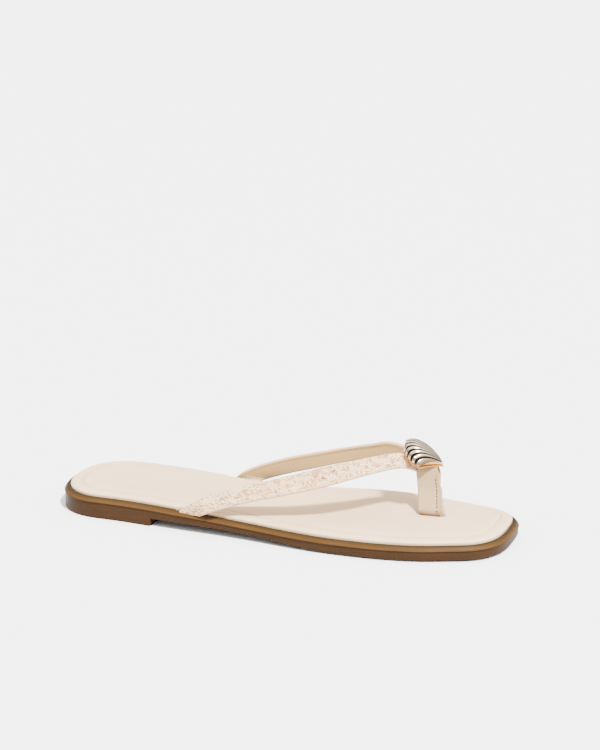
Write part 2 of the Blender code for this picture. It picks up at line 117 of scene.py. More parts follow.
def resample(points: Array, pitch: float) -> tuple[Array, Array]:
    """Lay points evenly along a polyline that may carry several columns of coordinates.

    Args:
        points: Rows of one or more 3-D points; the length is measured on the mean of them.
        pitch: Wanted distance between rows.

    Returns:
        The even rows, and the distance of each from the start.
    """
    run = run_length(points.reshape(len(points), -1, 3).mean(axis=1))
    even = np.linspace(0.0, run[-1], max(int(round(run[-1] / pitch)), 2) + 1)
    rows = np.column_stack([np.interp(even, run, points[:, k]) for k in range(points.shape[1])])
    return rows, even


@dataclass
class Surface:
    """Vertices, four-cornered faces and what each vertex carries, before it becomes a mesh."""

    points: Array
    faces: Array
    marks: dict[str, Array] = field(default_factory=dict)
    uv: Array | None = None

    @staticmethod
    def grid(points: Array, marks: dict[str, Array | float] | None = None, uv: Array | None = None,
             wrap: bool = False) -> Surface:
        """Make a surface of a grid of points.

        Args:
            points: Rows by columns by 3.
            marks: Named values, rows by columns or anything that spreads to that.
            uv: Rows by columns by 2.
            wrap: Whether each row's last point joins its first.

        Returns:
            The surface, with rows times columns vertices.
        """
        rows, columns = points.shape[:2]
        index = np.arange(rows * columns).reshape(rows, columns)
        right = np.roll(index, -1, 1) if wrap else index[:, 1:]
        left = index if wrap else index[:, :-1]
        faces = np.stack([left[:-1], right[:-1], right[1:], left[1:]], axis=-1).reshape(-1, 4)
        flat = {name: np.broadcast_to(value, (rows, columns)).ravel() for name, value in (marks or {}).items()}
        return Surface(points.reshape(-1, 3), faces, flat, None if uv is None else uv.reshape(-1, 2))

    @staticmethod
    def join(parts: list[Surface]) -> Surface:
        """Put several surfaces into one, with the marks that any of them has."""
        starts = np.cumsum([0] + [len(part.points) for part in parts[:-1]])
        names = {name for part in parts for name in part.marks}
        marks = {name: np.concatenate([part.marks.get(name, np.zeros(len(part.points))) for part in parts])
                 for name in names}
        uv = None
        if any(part.uv is not None for part in parts):
            uv = np.concatenate([part.uv if part.uv is not None else np.zeros((len(part.points), 2))
                                 for part in parts])
        return Surface(np.concatenate([part.points for part in parts]),
                       np.concatenate([part.faces + start for part, start in zip(parts, starts)]), marks, uv)

    def build(self, name: str, finish: bpy.types.Material, weld: float = 1e-6,
              sharp: float = 50.0) -> bpy.types.Object:
        """Make the mesh object: seams welded, faces outward, smooth up to an angle.

        Args:
            name: The piece's name.
            finish: Its material.
            weld: Distance under which vertices become one; 0 leaves them.
            sharp: Angle in degrees over which an edge stays sharp.

        Returns:
            The object, at the origin.
        """
        mesh = bpy.data.meshes.new(name)
        mesh.from_pydata(self.points.tolist(), [], self.faces.tolist())
        for mark, value in self.marks.items():
            mesh.attributes.new(mark, "FLOAT", "POINT").data.foreach_set("value", value.astype(np.float32))
        if self.uv is not None:
            corner = np.empty(len(mesh.loops), dtype=np.int32)
            mesh.loops.foreach_get("vertex_index", corner)
            mesh.uv_layers.new(name="thread").data.foreach_set("uv", self.uv[corner].astype(np.float32).ravel())
        shape = bmesh.new()
        shape.from_mesh(mesh)
        if weld:
            bmesh.ops.remove_doubles(shape, verts=shape.verts, dist=weld)
            bmesh.ops.dissolve_degenerate(shape, edges=shape.edges, dist=weld / 2)
        bmesh.ops.recalc_face_normals(shape, faces=shape.faces)
        shape.to_mesh(mesh)
        shape.free()
        mesh.shade_smooth()
        mesh.set_sharp_from_angle(angle=math.radians(sharp))
        mesh.materials.append(finish)
        made = bpy.data.objects.new(name, mesh)
        bpy.context.scene.collection.objects.link(made)
        return made


def carried(middle: Array, across: Array, outward: Array, sides: Array, faces: Array) -> Array:
    """Carry a section along a path.

    Args:
        middle: The path, n by 3.
        across: Unit vectors across the band, n by 3.
        outward: Unit vectors out of its face, n by 3.
        sides: Distance of each section point across, n by m or m.
        faces: Distance of each section point outwards, n by m or m.

    Returns:
        Points, n by m by 3: middle plus across times sides plus outward times faces.
    """
    sides, faces = np.broadcast_arrays(np.atleast_2d(sides), np.atleast_2d(faces))
    return middle[:, None] + across[:, None] * sides[..., None] + outward[:, None] * faces[..., None]


def capped(points: Array, marks: dict[str, Array | float] | None = None, uv: Array | None = None) -> Surface:
    """Close a tube of rings: the wall, and an end that shrinks to a point at each end."""
    first, last = points[:1].mean(axis=1, keepdims=True), points[-1:].mean(axis=1, keepdims=True)
    count = points.shape[1]
    rings = np.concatenate([np.repeat(first, count, 1), points, np.repeat(last, count, 1)])
    full = {name: np.pad(np.broadcast_to(value, points.shape[:2]), ((1, 1), (0, 0)), mode="edge")
            for name, value in (marks or {}).items()}
    whole = None if uv is None else np.pad(uv, ((1, 1), (0, 0), (0, 0)), mode="edge")
    return Surface.grid(rings, full, whole, wrap=True)


# Shader graph


class Value:
    """A number that varies over the surface, with arithmetic that adds Math nodes."""

    def __init__(self, graph: Graph, socket: bpy.types.NodeSocket) -> None:
        """Hold the socket that gives the number."""
        self.graph, self.socket = graph, socket

    def __add__(self, other: Value | float) -> Value:
        """Sum."""
        return self.graph.math("ADD", self, other)

    def __mul__(self, other: Value | float) -> Value:
        """Product."""
        return self.graph.math("MULTIPLY", self, other)

    def __sub__(self, other: Value | float) -> Value:
        """Difference."""
        return self.graph.math("SUBTRACT", self, other)

    def __rsub__(self, other: float) -> Value:
        """Difference from a plain number."""
        return self.graph.math("SUBTRACT", other, self)

    def __truediv__(self, other: Value | float) -> Value:
        """Quotient."""
        return self.graph.math("DIVIDE", self, other)


class Graph:
    """A material's nodes, made one by one."""

    def __init__(self, name: str) -> None:
        """Start a material with its Principled shader."""
        self.material = bpy.data.materials.new(name)
        self.material.use_nodes = True
        self.tree = self.material.node_tree
        self.shader = self.tree.nodes["Principled BSDF"]

    def node(self, kind: str, settings: dict | None = None, **inputs) -> bpy.types.Node:
        """Add a node.

        Args:
            kind: Its type, such as ShaderNodeTexNoise.
            settings: Properties, set before the sockets; stops gives a ramp's positions and colours.
            inputs: Values or links of its sockets by name, with _ for a blank, or i0, i1 by place.

        Returns:
            The node.
        """
        made = self.tree.nodes.new(kind)
        for key, value in (settings or {}).items():
            if key == "stops":
                ramp = made.color_ramp
                while len(ramp.elements) < len(value):
                    ramp.elements.new(0.5)
                for element, (position, colour) in zip(ramp.elements, value):
                    element.position = position
                    element.color = (*colour, 1.0)
            else:
                setattr(made, key, value)
        for key, value in inputs.items():
            place = made.inputs[int(key[1:])] if key[0] == "i" and key[1:].isdigit() else \
                made.inputs[key.replace("_", " ")]
            self.feed(place, value)
        return made

    def feed(self, place: bpy.types.NodeSocket, value: object) -> None:
        """Link a socket or set its own value."""
        if isinstance(value, Value):
            self.tree.links.new(value.socket, place)
        elif isinstance(value, bpy.types.NodeSocket):
            self.tree.links.new(value, place)
        elif isinstance(value, tuple) and place.type == "RGBA":
            place.default_value = (*value[:3], 1.0)
        else:
            place.default_value = value

    def math(self, operation: str, *values: Value | float) -> Value:
        """Add a Math node."""
        made = self.node("ShaderNodeMath", {"operation": operation},
                         **{f"i{k}": value for k, value in enumerate(values)})
        return Value(self, made.outputs[0])

    def mark(self, name: str) -> Value:
        """Read one of the piece's own vertex marks."""
        return Value(self, self.node("ShaderNodeAttribute", {"attribute_name": name}).outputs["Fac"])

    def place(self) -> bpy.types.NodeSocket:
        """Object coordinates, in metres."""
        return self.node("ShaderNodeTexCoord").outputs["Object"]

    def thread(self) -> bpy.types.NodeSocket:
        """The piece's own map, in thread counts."""
        return self.node("ShaderNodeUVMap", {"uv_map": "thread"}).outputs["UV"]

    def stretched(self, vector: bpy.types.NodeSocket, scale: tuple[float, float, float]) -> bpy.types.NodeSocket:
        """Scale coordinates, each axis by its own number."""
        return self.node("ShaderNodeVectorMath", {"operation": "MULTIPLY"}, i0=vector, i1=scale).outputs[0]

    def noise(self, vector: bpy.types.NodeSocket, scale: float, detail: float = 3.0,
              roughness: float = 0.5) -> Value:
        """Fractal noise between 0 and 1."""
        made = self.node("ShaderNodeTexNoise", None, Vector=vector, Scale=scale, Detail=detail, Roughness=roughness)
        return Value(self, made.outputs["Fac"])

    def cells(self, vector: bpy.types.NodeSocket, scale: float) -> Value:
        """Distance from the nearest centre in a pattern of cells."""
        made = self.node("ShaderNodeTexVoronoi", {"feature": "F1"}, Vector=vector, Scale=scale)
        return Value(self, made.outputs["Distance"])

    def chance(self, vector: bpy.types.NodeSocket) -> Value:
        """One random number between 0 and 1 for each whole cell of the coordinates."""
        cell = self.node("ShaderNodeVectorMath", {"operation": "FLOOR"}, i0=vector).outputs[0]
        made = self.node("ShaderNodeTexWhiteNoise", {"noise_dimensions": "2D"}, Vector=cell)
        return Value(self, made.outputs["Value"])

    def span(self, value: Value, low: float, high: float, to_low: float = 0.0, to_high: float = 1.0) -> Value:
        """Map a range of a value smoothly to another range, clamped."""
        made = self.node("ShaderNodeMapRange", {"interpolation_type": "SMOOTHSTEP"}, Value=value, From_Min=low,
                         From_Max=high, To_Min=to_low, To_Max=to_high)
        return Value(self, made.outputs["Result"])

    def mix(self, factor: Value | float, first: object, second: object,
            blend: str = "MIX") -> bpy.types.NodeSocket:
        """Blend two colours."""
        made = self.node("ShaderNodeMix", {"data_type": "RGBA", "blend_type": blend, "clamp_factor": True},
                         i0=factor, i6=first, i7=second)
        return made.outputs[2]

    def ramp(self, value: Value, stops: list | tuple, interpolation: str = "LINEAR") -> bpy.types.NodeSocket:
        """Read a colour from a ramp."""
        made = self.node("ShaderNodeValToRGB", {"stops": stops}, Fac=value)
        made.color_ramp.interpolation = interpolation
        return made.outputs["Color"]

    def relief(self, height: Value, depth: float) -> None:
        """Feed the normal from a height between 0 and 1 that stands for depth metres."""
        bump = self.node("ShaderNodeBump", None, Height=height, Distance=depth, Strength=1.0)
        self.tree.links.new(bump.outputs["Normal"], self.shader.inputs["Normal"])

    def surface(self, **inputs) -> bpy.types.Material:
        """Set sockets of the Principled shader and give the material."""
        for key, value in inputs.items():
            self.feed(self.shader.inputs[key.replace("_", " ")], value)
        return self.material


def srgb(red: float, green: float, blue: float) -> Colour:
    """A colour as a picture gives it, 0 to 255, as the linear numbers that shaders use."""
    shares = [c / 255 for c in (red, green, blue)]
    linear = [c / 12.92 if c <= 0.04045 else ((c + 0.055) / 1.055) ** 2.4 for c in shares]
    return tuple(linear)


# Finishes


@dataclass(frozen=True)
class MouldedRubber:
    """Tan sole of one rubber, with light and shade painted in as bands: wall, lip line, underside, olive rim and tray
    groove are darker as painted shade, the bevel lighter as painted light and lightest at its rounded lower border as
    a painted highlight; faint flow lines of the mould.
    """

    # Tones of one rubber with light and shade painted in. Wall, lip, underside, rim and groove are painted shade: the
    # lip is a shade line under its step, and the rim and groove are shade where the insole sits. The bevel is painted
    # light, and the tone at its rounded lower border is a painted highlight.
    wall: Colour = srgb(49, 32, 17)
    lip: Colour = srgb(38, 25, 14)
    painted_highlight: Colour = srgb(72, 49, 24)
    bevel: Colour = srgb(56, 38, 18)
    rim: Colour = srgb(42, 33, 18)
    under: Colour = srgb(50, 34, 22)
    groove: Colour = srgb(22, 15, 9)
    depth: float = 0.00009

    def make(self) -> bpy.types.Material:
        """Build the material; mark zone is -1 underside, 0 wall, 0.3 lip, 1 to 2 up the bevel, 2 rim and 3 tray."""
        graph = Graph("moulded_rubber")
        place, zone = graph.place(), graph.mark("zone")
        # Painted light and shade: the ramp gives each band of the profile its own lit or shaded tone of the one
        # rubber.
        colour = graph.ramp((zone + 1.0) / 4.0, [
            (0.0, self.under), (0.18, self.under), (0.24, self.wall), (0.29, self.wall), (0.33, self.lip),
            (0.45, self.lip), (0.50, self.painted_highlight), (0.58, self.painted_highlight), (0.70, self.bevel), (0.745, self.rim),
            (0.80, self.rim), (0.88, self.groove)])
        flow = graph.noise(graph.stretched(place, (1.0, 1.0, 9.0)), 60.0, 4.0)
        cloud = graph.noise(place, 18.0, 2.0)
        shade = graph.span(flow * 0.6 + cloud * 0.4, 0.3, 0.7, 0.86, 1.1)
        grey = graph.node("ShaderNodeCombineColor", None, Red=shade, Green=shade, Blue=shade).outputs[0]
        colour = graph.mix(1.0, colour, grey, "MULTIPLY")
        fine = graph.noise(place, 2600.0, 2.0)
        graph.relief(fine * 0.5 + flow * 0.5, self.depth)
        rough = graph.span(cloud + fine * 0.3, 0.4, 0.9, 0.42, 0.56)
        return graph.surface(Base_Color=colour, Roughness=rough, Specular_IOR_Level=0.05)


@dataclass(frozen=True)
class SmoothLeather:
    """Smooth leather with pores, slight clouds of tone, and a darker colour where a mark says so: pressed lines and
    hems, and painted shade at the feet of pieces, round slots, in seams and along lining edges.
    """

    name: str
    base: Colour
    shade: Colour
    # Dark colour for pressed lines and for painted shade.
    press: Colour
    grain: float = 1500.0
    rough: float = 0.5
    depth: float = 0.00007

    def make(self) -> bpy.types.Material:
        """Build the material."""
        graph = Graph(self.name)
        place, press = graph.place(), graph.mark("press")
        cloud = graph.noise(place, 24.0, 3.0)
        pores = graph.cells(place, self.grain)
        folds = graph.noise(place, self.grain / 3.2, 4.0, 0.6)
        colour = graph.mix(graph.span(cloud, 0.3, 0.7), self.base, self.shade)
        colour = graph.mix(graph.span(folds, 0.45, 0.75, 0.0, 0.35), colour, self.shade)
        # Painted shade: the mark mixes in the dark colour at pressed lines and where shade is painted.
        colour = graph.mix(press, colour, self.press)
        graph.relief(graph.span(pores, 0.0, 0.6) * 0.5 + folds * 0.5, self.depth)
        rough = graph.span(folds + cloud * 0.5, 0.5, 1.0, self.rough - 0.06, self.rough + 0.08)
        return graph.surface(Base_Color=colour, Roughness=rough, Specular_IOR_Level=0.4)


@dataclass(frozen=True)
class RaffiaWeave:
    """Plain weave of flat cream, peach, straw and brown strips with fibres.

    Field tones gives each tone and where its share of the random numbers starts; warp_tones and weft_tones say how
    many tones a strip goes through for each crossing, along and across the strap.
    """

    # Painted shade between the strips.
    gap: Colour = srgb(84, 58, 34)
    fold: Colour = srgb(196, 158, 114)
    patch: Colour = srgb(212, 171, 129)
    fibre: Colour = srgb(181, 139, 96)
    tones: tuple = (
        (0.0, srgb(206, 171, 131)), (0.22, srgb(212, 181, 143)), (0.40, srgb(164, 114, 66)),
        (0.55, srgb(214, 180, 139)), (0.70, srgb(186, 122, 76)), (0.80, srgb(228, 206, 174)),
        (0.90, srgb(118, 84, 48)),
    )
    warp_tones: float = 0.36
    weft_tones: float = 0.45
    rough: float = 0.72
    depth: float = 0.00016

    def make(self) -> bpy.types.Material:
        """Build the material: a random tone that each strip keeps over two or three crossings, painted shade in the
        gaps between strips, and fibres along the strip on top."""
        graph = Graph("raffia_weave")
        thread, height, warp = graph.thread(), graph.mark("height"), graph.mark("warp")
        pick = graph.chance(graph.stretched(thread, (self.warp_tones, 1.0, 1.0))) * warp \
            + graph.chance(graph.stretched(thread, (1.0, self.weft_tones, 1.0))) * (1 - warp)
        colour = graph.ramp(pick, self.tones, "CONSTANT")
        patch = graph.noise(thread, 0.35, 2.0)
        colour = graph.mix(graph.span(patch, 0.35, 0.75, 0.0, 0.35), colour, self.patch)
        along = graph.noise(graph.stretched(thread, (1.2, 14.0, 1.0)), 1.0, 3.0)
        cross = graph.noise(graph.stretched(thread, (14.0, 1.2, 1.0)), 1.0, 3.0)
        fibre = along * warp + cross * (1 - warp)
        colour = graph.mix(graph.span(fibre, 0.52, 0.8, 0.0, 0.5), colour, self.fibre)
        # Painted shade: the gap colour darkens where the weave is low, between the strips.
        colour = graph.mix(graph.span(height, 0.45, 0.0, 0.0, 0.9), colour, self.gap)
        colour = graph.mix(graph.mark("fold"), colour, self.fold)
        graph.relief(fibre * 0.6 + height * 0.4, self.depth)
        rough = graph.span(fibre, 0.3, 0.7, self.rough - 0.1, self.rough + 0.1)
        return graph.surface(Base_Color=colour, Roughness=rough, Specular_IOR_Level=0.35, Sheen_Weight=0.15)


@dataclass(frozen=True)
class SewingThread:
    """Twisted thread."""

    name: str
    base: Colour
    dark: Colour
    depth: float = 0.00008

    def make(self) -> bpy.types.Material:
        """Build the material: two tones that mix in spots about as fine as the twist."""
        graph = Graph(self.name)
        twist = graph.noise(graph.place(), 2800.0, 2.0)
        colour = graph.mix(graph.span(twist, 0.4, 0.6), self.base, self.dark)
        graph.relief(twist, self.depth)
        rough = graph.span(twist, 0.3, 0.7, 0.5, 0.7)
        return graph.surface(Base_Color=colour, Roughness=rough)


@dataclass(frozen=True)
class PaleGold:
    """Cast metal: polished ribs, grooves dark with patina and, to the sides and near the tip, with a painted dark
    reflection; a warmer plain flange.
    """

    rib: Colour = srgb(210, 190, 164)
    groove: Colour = srgb(24, 18, 12)
    flange: Colour = srgb(206, 142, 72)
    depth: float = 0.00003

    def make(self) -> bpy.types.Material:
        """Build the material; mark groove is 1 at the bottom of a groove and more to the sides and near the tip,
        where it paints a dark reflection; mark flange is 1 on the plain edge.
        """
        graph = Graph("pale_gold")
        place, groove, flange = graph.place(), graph.mark("groove"), graph.mark("flange")
        cast = graph.noise(place, 1800.0, 3.0)
        dark = graph.span(groove + (cast - 0.5) * 0.15, 0.20, 0.55)
        colour = graph.mix(dark, self.rib, self.groove)
        colour = graph.mix(flange, colour, self.flange)
        graph.relief(cast, self.depth)
        rough = graph.span(dark + cast * 0.3, 0.1, 1.2, 0.15, 0.5)
        return graph.surface(Base_Color=colour, Roughness=rough, Metallic=1.0)


@dataclass(frozen=True)
class StudioFloor:
    """Plain pale paper."""

    tone: Colour = srgb(247, 247, 247)

    def make(self) -> bpy.types.Material:
        """Build the material, with a trace of paper grain."""
        graph = Graph("studio_floor")
        grain = graph.noise(graph.place(), 900.0, 2.0)
        rough = graph.span(grain, 0.3, 0.7, 0.75, 0.9)
        return graph.surface(Base_Color=self.tone, Roughness=rough, Specular_IOR_Level=0.2)


# The last: plan and heights


@dataclass(frozen=True)
class Last:
    """Form that the sole is made on: outline of the insole, height of the rim, of the underside and of the tray."""

    length: float = 0.255
    ball_width: float = 0.0818
    heel_centre: float = 0.035
    heel_round: float = 0.028
    heel_squareness: float = 2.3
    toe_round: float = 0.024
    toe_squareness: float = 3.4
    toe_tip_inward: float = 0.008
    heel_height: float = 0.0119
    ball_height: float = 0.0084
    toe_height: float = 0.0088
    rise_from: float = 0.72
    rise_power: float = 1.6
    toe_spring: float = 0.0006
    spring_from: float = 0.80
    spring_power: float = 1.8
    arch_lift: float = 0.0044
    edge_lift: float = 0.0014
    heel_breast: float = 0.060
    breast_slope: float = 0.0006
    tray_depth: float = 0.0015
    gap: float = 0.0003
    fineness: int = 24
    sides: tuple = (
        (0.00, 0.368, 0.366), (0.14, 0.377, 0.370), (0.22, 0.358, 0.390), (0.31, 0.332, 0.417),
        (0.39, 0.311, 0.432), (0.47, 0.327, 0.455), (0.55, 0.386, 0.488), (0.63, 0.449, 0.513),
        (0.71, 0.482, 0.517), (0.78, 0.465, 0.503), (0.85, 0.421, 0.462), (0.92, 0.372, 0.383),
        (1.00, 0.306, 0.296),
    )
    heights: tuple = (
        (0.00, 1.00, 1.00, 0.00), (0.18, 1.00, 1.00, 0.00), (0.25, 0.95, 1.00, 0.00), (0.35, 0.70, 0.95, 0.10),
        (0.45, 0.38, 0.72, 0.45), (0.54, 0.16, 0.28, 0.95), (0.60, 0.06, 0.04, 1.00), (0.66, 0.00, 0.00, 0.75),
        (0.80, 0.00, 0.00, 0.66), (1.00, 0.00, 0.00, 0.55),
    )

    def read(self, table: tuple, column: int, x: Array) -> Array:
        """Read a column of a table at distances from the insole's back."""
        curve = smooth_rows(np.array(table), self.fineness)
        return np.interp(np.clip(x / self.length, 0, 1), curve[:, 0], curve[:, column])

    def half_widths(self, x: Array) -> tuple[Array, Array]:
        """Distances of the inner and outer side from the middle line, rounded by superellipses at both ends."""
        heel = np.clip((self.heel_round - x) / self.heel_round, 0, 1)
        toe = np.clip((x - self.length + self.toe_round) / self.toe_round, 0, 1)
        heel_share = (1 - heel**self.heel_squareness) ** (1 / self.heel_squareness)
        toe_share = (1 - toe**self.toe_squareness) ** (1 / self.toe_squareness)
        tip = self.toe_tip_inward * (1 - toe_share)
        inner = self.read(self.sides, 1, x) * self.ball_width * heel_share * toe_share + tip
        outer = self.read(self.sides, 2, x) * self.ball_width * heel_share * toe_share - tip
        return inner, outer

    def edge(self, x: Array, side: Side) -> Array:
        """The y of the insole's edge."""
        inner, outer = self.half_widths(x)
        return inner if side is Side.INNER else -outer

    def rim(self, x: Array) -> Array:
        """Height of the rim's top: heel's to ball's by the table, and a rise to the toe."""
        seat = self.ball_height + (self.heel_height - self.ball_height) * self.read(self.heights, 1, x)
        toe = np.clip((x / self.length - self.rise_from) / (1 - self.rise_from), 0, 1)
        return seat + (self.toe_height - self.ball_height) * toe**self.rise_power

    def bottom(self, x: Array) -> Array:
        """Height of the underside: heel block, arch, flat tread and toe spring."""
        arch = self.arch_lift * self.read(self.heights, 2, x) * (x > self.heel_breast + self.breast_slope / 2)
        toe = np.clip((x / self.length - self.spring_from) / (1 - self.spring_from), 0, 1)
        return np.maximum(arch, 0) + self.toe_spring * toe**self.spring_power

    def wall_foot(self, x: Array) -> Array:
        """Height of the wall's foot: that of the tread at the heel, and above it in front."""
        return self.bottom(x) + self.edge_lift * np.maximum(self.read(self.heights, 3, x), 0)

    def tray(self, x: Array) -> Array:
        """Height of the tray's floor."""
        return self.rim(x) - self.tray_depth

    def stations(self, count: int, exact: Array) -> Array:
        """Distances from the back, dense at the round ends, with exact ones added for steps."""
        even = (1 - np.cos(np.linspace(0, np.pi, count))) / 2 * self.length
        extra = np.array([self.heel_breast, self.heel_breast + self.breast_slope, *exact])
        near = np.abs(even[:, None] - extra[None]).min(axis=1) < self.breast_slope / 2
        near[[0, -1]] = False
        return np.sort(np.concatenate([even[~near], extra]))

    def loop(self, x: Array) -> tuple[Array, Array, Array]:
        """The outline, outer side first.

        Args:
            x: Stations from the back to the toe.

        Returns:
            Plan points, inward unit normals, and the station of each point.
        """
        inner, outer = self.half_widths(x)
        plan = np.column_stack([np.append(x, x[-2:0:-1]), np.append(-outer, inner[-2:0:-1])])
        run = np.roll(plan, -1, 0) - np.roll(plan, 1, 0)
        inward = unit(np.column_stack([-run[:, 1], run[:, 0]]))
        return plan, inward, np.append(x, x[-2:0:-1])

    def framed(self, points: Array) -> Array:
        """Move points from the insole's back to the part's frame."""
        return points - np.array([self.heel_centre, 0.0, 0.0])


def rings(last: Last, x: Array, profile: list[tuple[Array | float, Array | float]]) -> Array:
    """Rings of a sole piece: the outline moved inwards by each profile row's inset, at its height.

    Args:
        last: The form.
        x: Stations.
        profile: Inset and height for each ring, as numbers or arrays over the loop.

    Returns:
        Points, rings by loop by 3, measured from the insole's back.
    """
    plan, inward, _ = last.loop(x)
    made = [np.column_stack([plan + inward * np.broadcast_to(inset, len(plan))[:, None],
                             np.broadcast_to(height, len(plan))]) for inset, height in profile]
    return np.stack(made)


def ladder(ring: Array, shares: Array) -> Array:
    """Fill a ring from side to side: at each station a straight row of points at the given shares.

    Args:
        ring: Loop by 3, outer side first.
        shares: Stations by across, or one row for all, from 0 at the outer to 1 at the inner side.

    Returns:
        Points, stations by across by 3.
    """
    count = len(ring) // 2 + 1
    outer = ring[:count]
    inner = ring[-np.arange(count) % len(ring)]
    return outer[:, None] + (inner - outer)[:, None] * shares[..., None]


# Sole and footbed


@dataclass(frozen=True)
class Anchors:
    """Where each strap goes down between insole and rim, measured from the insole's back."""

    outer: tuple[float, float] = (0.077, 0.0905)
    inner: tuple[float, float] = (0.0855, 0.1005)
    ease: float = 0.0016
    reach: float = 0.0018

    def stations(self) -> Array:
        """Stations close together round both ends of each notch, for its soft ends."""
        return np.concatenate([np.linspace(end - self.reach, end + self.reach, 9)
                               for end in (*self.outer, *self.inner)])

    def near(self, x: Array) -> Array:
        """1 along the loop where a strap passes and 0 elsewhere, with soft ends; x is the loop's stations."""
        count = len(x) // 2 + 1
        inner = np.arange(len(x)) >= count
        made = np.zeros(len(x))
        for (low, high), side in ((self.outer, ~inner), (self.inner, inner)):
            made += side * smoothstep(low - self.ease, low - self.ease / 4, x) \
                * (1 - smoothstep(high + self.ease / 4, high + self.ease, x))
        return made


@dataclass
class Outsole:
    """Moulded unit sole: tread, wall, lip, bevel, rim and tray."""

    last: Last
    anchors: Anchors
    rim_width: float = 0.0038
    bevel: float = 0.0020
    bevel_crown: float = 0.00018
    least_rim: float = 0.0003
    rim_round: float = 0.00012
    rim_shade: float = 0.0005
    lip_drop: float = 0.0025
    lip_step: float = 0.0004
    bottom_round: float = 0.0008
    tread_width: float = 0.0022
    tread_depth: float = 0.0008
    tread_pitch: float = 0.0075
    tread_margin: float = 0.0090
    heel_treads: int = 4
    ball_treads: int = 8
    ball_centre: float = 0.725
    tread_inset: float = 0.0062
    tread_slope: float = 0.0010
    groove_wall: float = 0.00012
    notch: float = 0.0022
    count: int = 260

    def tread_starts(self) -> Array:
        """Back edge of each groove."""
        groups = ((self.last.heel_centre, self.heel_treads), (self.ball_centre * self.last.length, self.ball_treads))
        middles = [centre + self.tread_pitch * (np.arange(count) - (count - 1) / 2) for centre, count in groups]
        return np.concatenate(middles) - self.tread_width / 2

    def profile(self, x: Array) -> list[tuple[Array | float, Array, float]]:
        """Inset, height and zone for each ring, from the underside over wall, lip, bevel and rim into the tray.

        The wall's foot and the lip are small quarter rounds; the bevel is a slightly crowned slope, by a half sine.
        """
        last, low, high = self.last, self.last.wall_foot(x), self.last.rim(x)
        rows = [(self.tread_inset, last.bottom(x), -1.0), (self.tread_inset - self.tread_slope, low, -1.0),
                (self.lip_step + self.bottom_round * 2, low, -1.0)]
        rows += [(self.lip_step + self.bottom_round * (1 - math.sin(angle)),
                  low + self.bottom_round * (1 - math.cos(angle)), 0.0) for angle in np.linspace(0, math.pi / 2, 5)]
        brow = high - self.lip_drop - self.lip_step
        foot = low + self.bottom_round
        rows += [(self.lip_step, foot + (brow - foot) * share, 0.0) for share in (0.35, 0.7, 1.0)]
        rows += [(self.lip_step * (1 - share) ** 2, high - self.lip_drop - self.lip_step * (1 - share), 0.3)
                 for share in (0.4, 0.8, 1.0)]
        for share in np.linspace(0.08, 1.0, 8):
            crown = self.bevel_crown * math.sin(math.pi * share)
            rows.append((self.bevel * share**1.1 - crown * 0.6, high - self.lip_drop * (1 - share) + crown,
                         1.0 + 0.95 * share))
        wall = np.maximum(self.rim_width - last.gap - self.notch * self.anchors.near(x), self.bevel + self.least_rim)
        rows += [(self.bevel + (wall - self.bevel) * share, high, 2.0) for share in (0.3, 0.8, 0.93)]
        rows += [(wall, high - self.rim_round, 2.0), (wall, high - self.rim_shade, 2.6), (wall, last.tray(x), 3.0)]
        return rows

    def underside(self, ring: Array, x: Array) -> Surface:
        """The bottom with its grooves: a ladder whose points sink by the tread's depth inside each groove."""
        width = np.maximum(np.abs(ring[-np.arange(len(x)) % len(ring), 1] - ring[:len(x), 1]), 1e-5)
        cut = np.minimum((self.tread_margin + self.rim_width - self.tread_inset) / width, 0.45)
        step = self.groove_wall / width
        low = np.column_stack([np.zeros_like(cut), cut * 0.5, cut - step, cut + step])
        between = low[:, -1:] + (1 - 2 * low[:, -1:]) * np.linspace(0.1, 0.9, 9)
        shares = np.column_stack([low, between, 1 - low[:, ::-1]])
        points = ladder(ring, np.clip(shares, 0, 1))
        ahead = x[:, None] - self.tread_starts()[None]
        inside = ((ahead > SAME_PLACE) & (ahead < self.tread_width - SAME_PLACE)).any(axis=1)
        deep = inside[:, None] * ((shares > cut[:, None]) & (shares < 1 - cut[:, None]))
        points[..., 2] += self.tread_depth * deep
        return Surface.grid(self.last.framed(points), {"zone": -1.0})

    def build(self, finish: bpy.types.Material) -> bpy.types.Object:
        """Build the sole."""
        starts, step = self.tread_starts(), self.groove_wall
        grooves = np.concatenate([starts, starts + step, starts + self.tread_width - step, starts + self.tread_width])
        x = self.last.stations(self.count, np.concatenate([grooves, self.anchors.stations()]))
        _, _, at = self.last.loop(x)
        rows = self.profile(at)
        body = rings(self.last, x, [(inset - self.rim_width, height) for inset, height, _ in rows])
        zone = np.array([zone for _, _, zone in rows])[:, None]
        wall = Surface.grid(self.last.framed(body), {"zone": zone}, wrap=True)
        tray = Surface.grid(self.last.framed(ladder(body[-1], np.linspace(0, 1, 5))), {"zone": 3.0})
        return Surface.join([wall, self.underside(body[0], x), tray]).build("sole", finish, sharp=40)


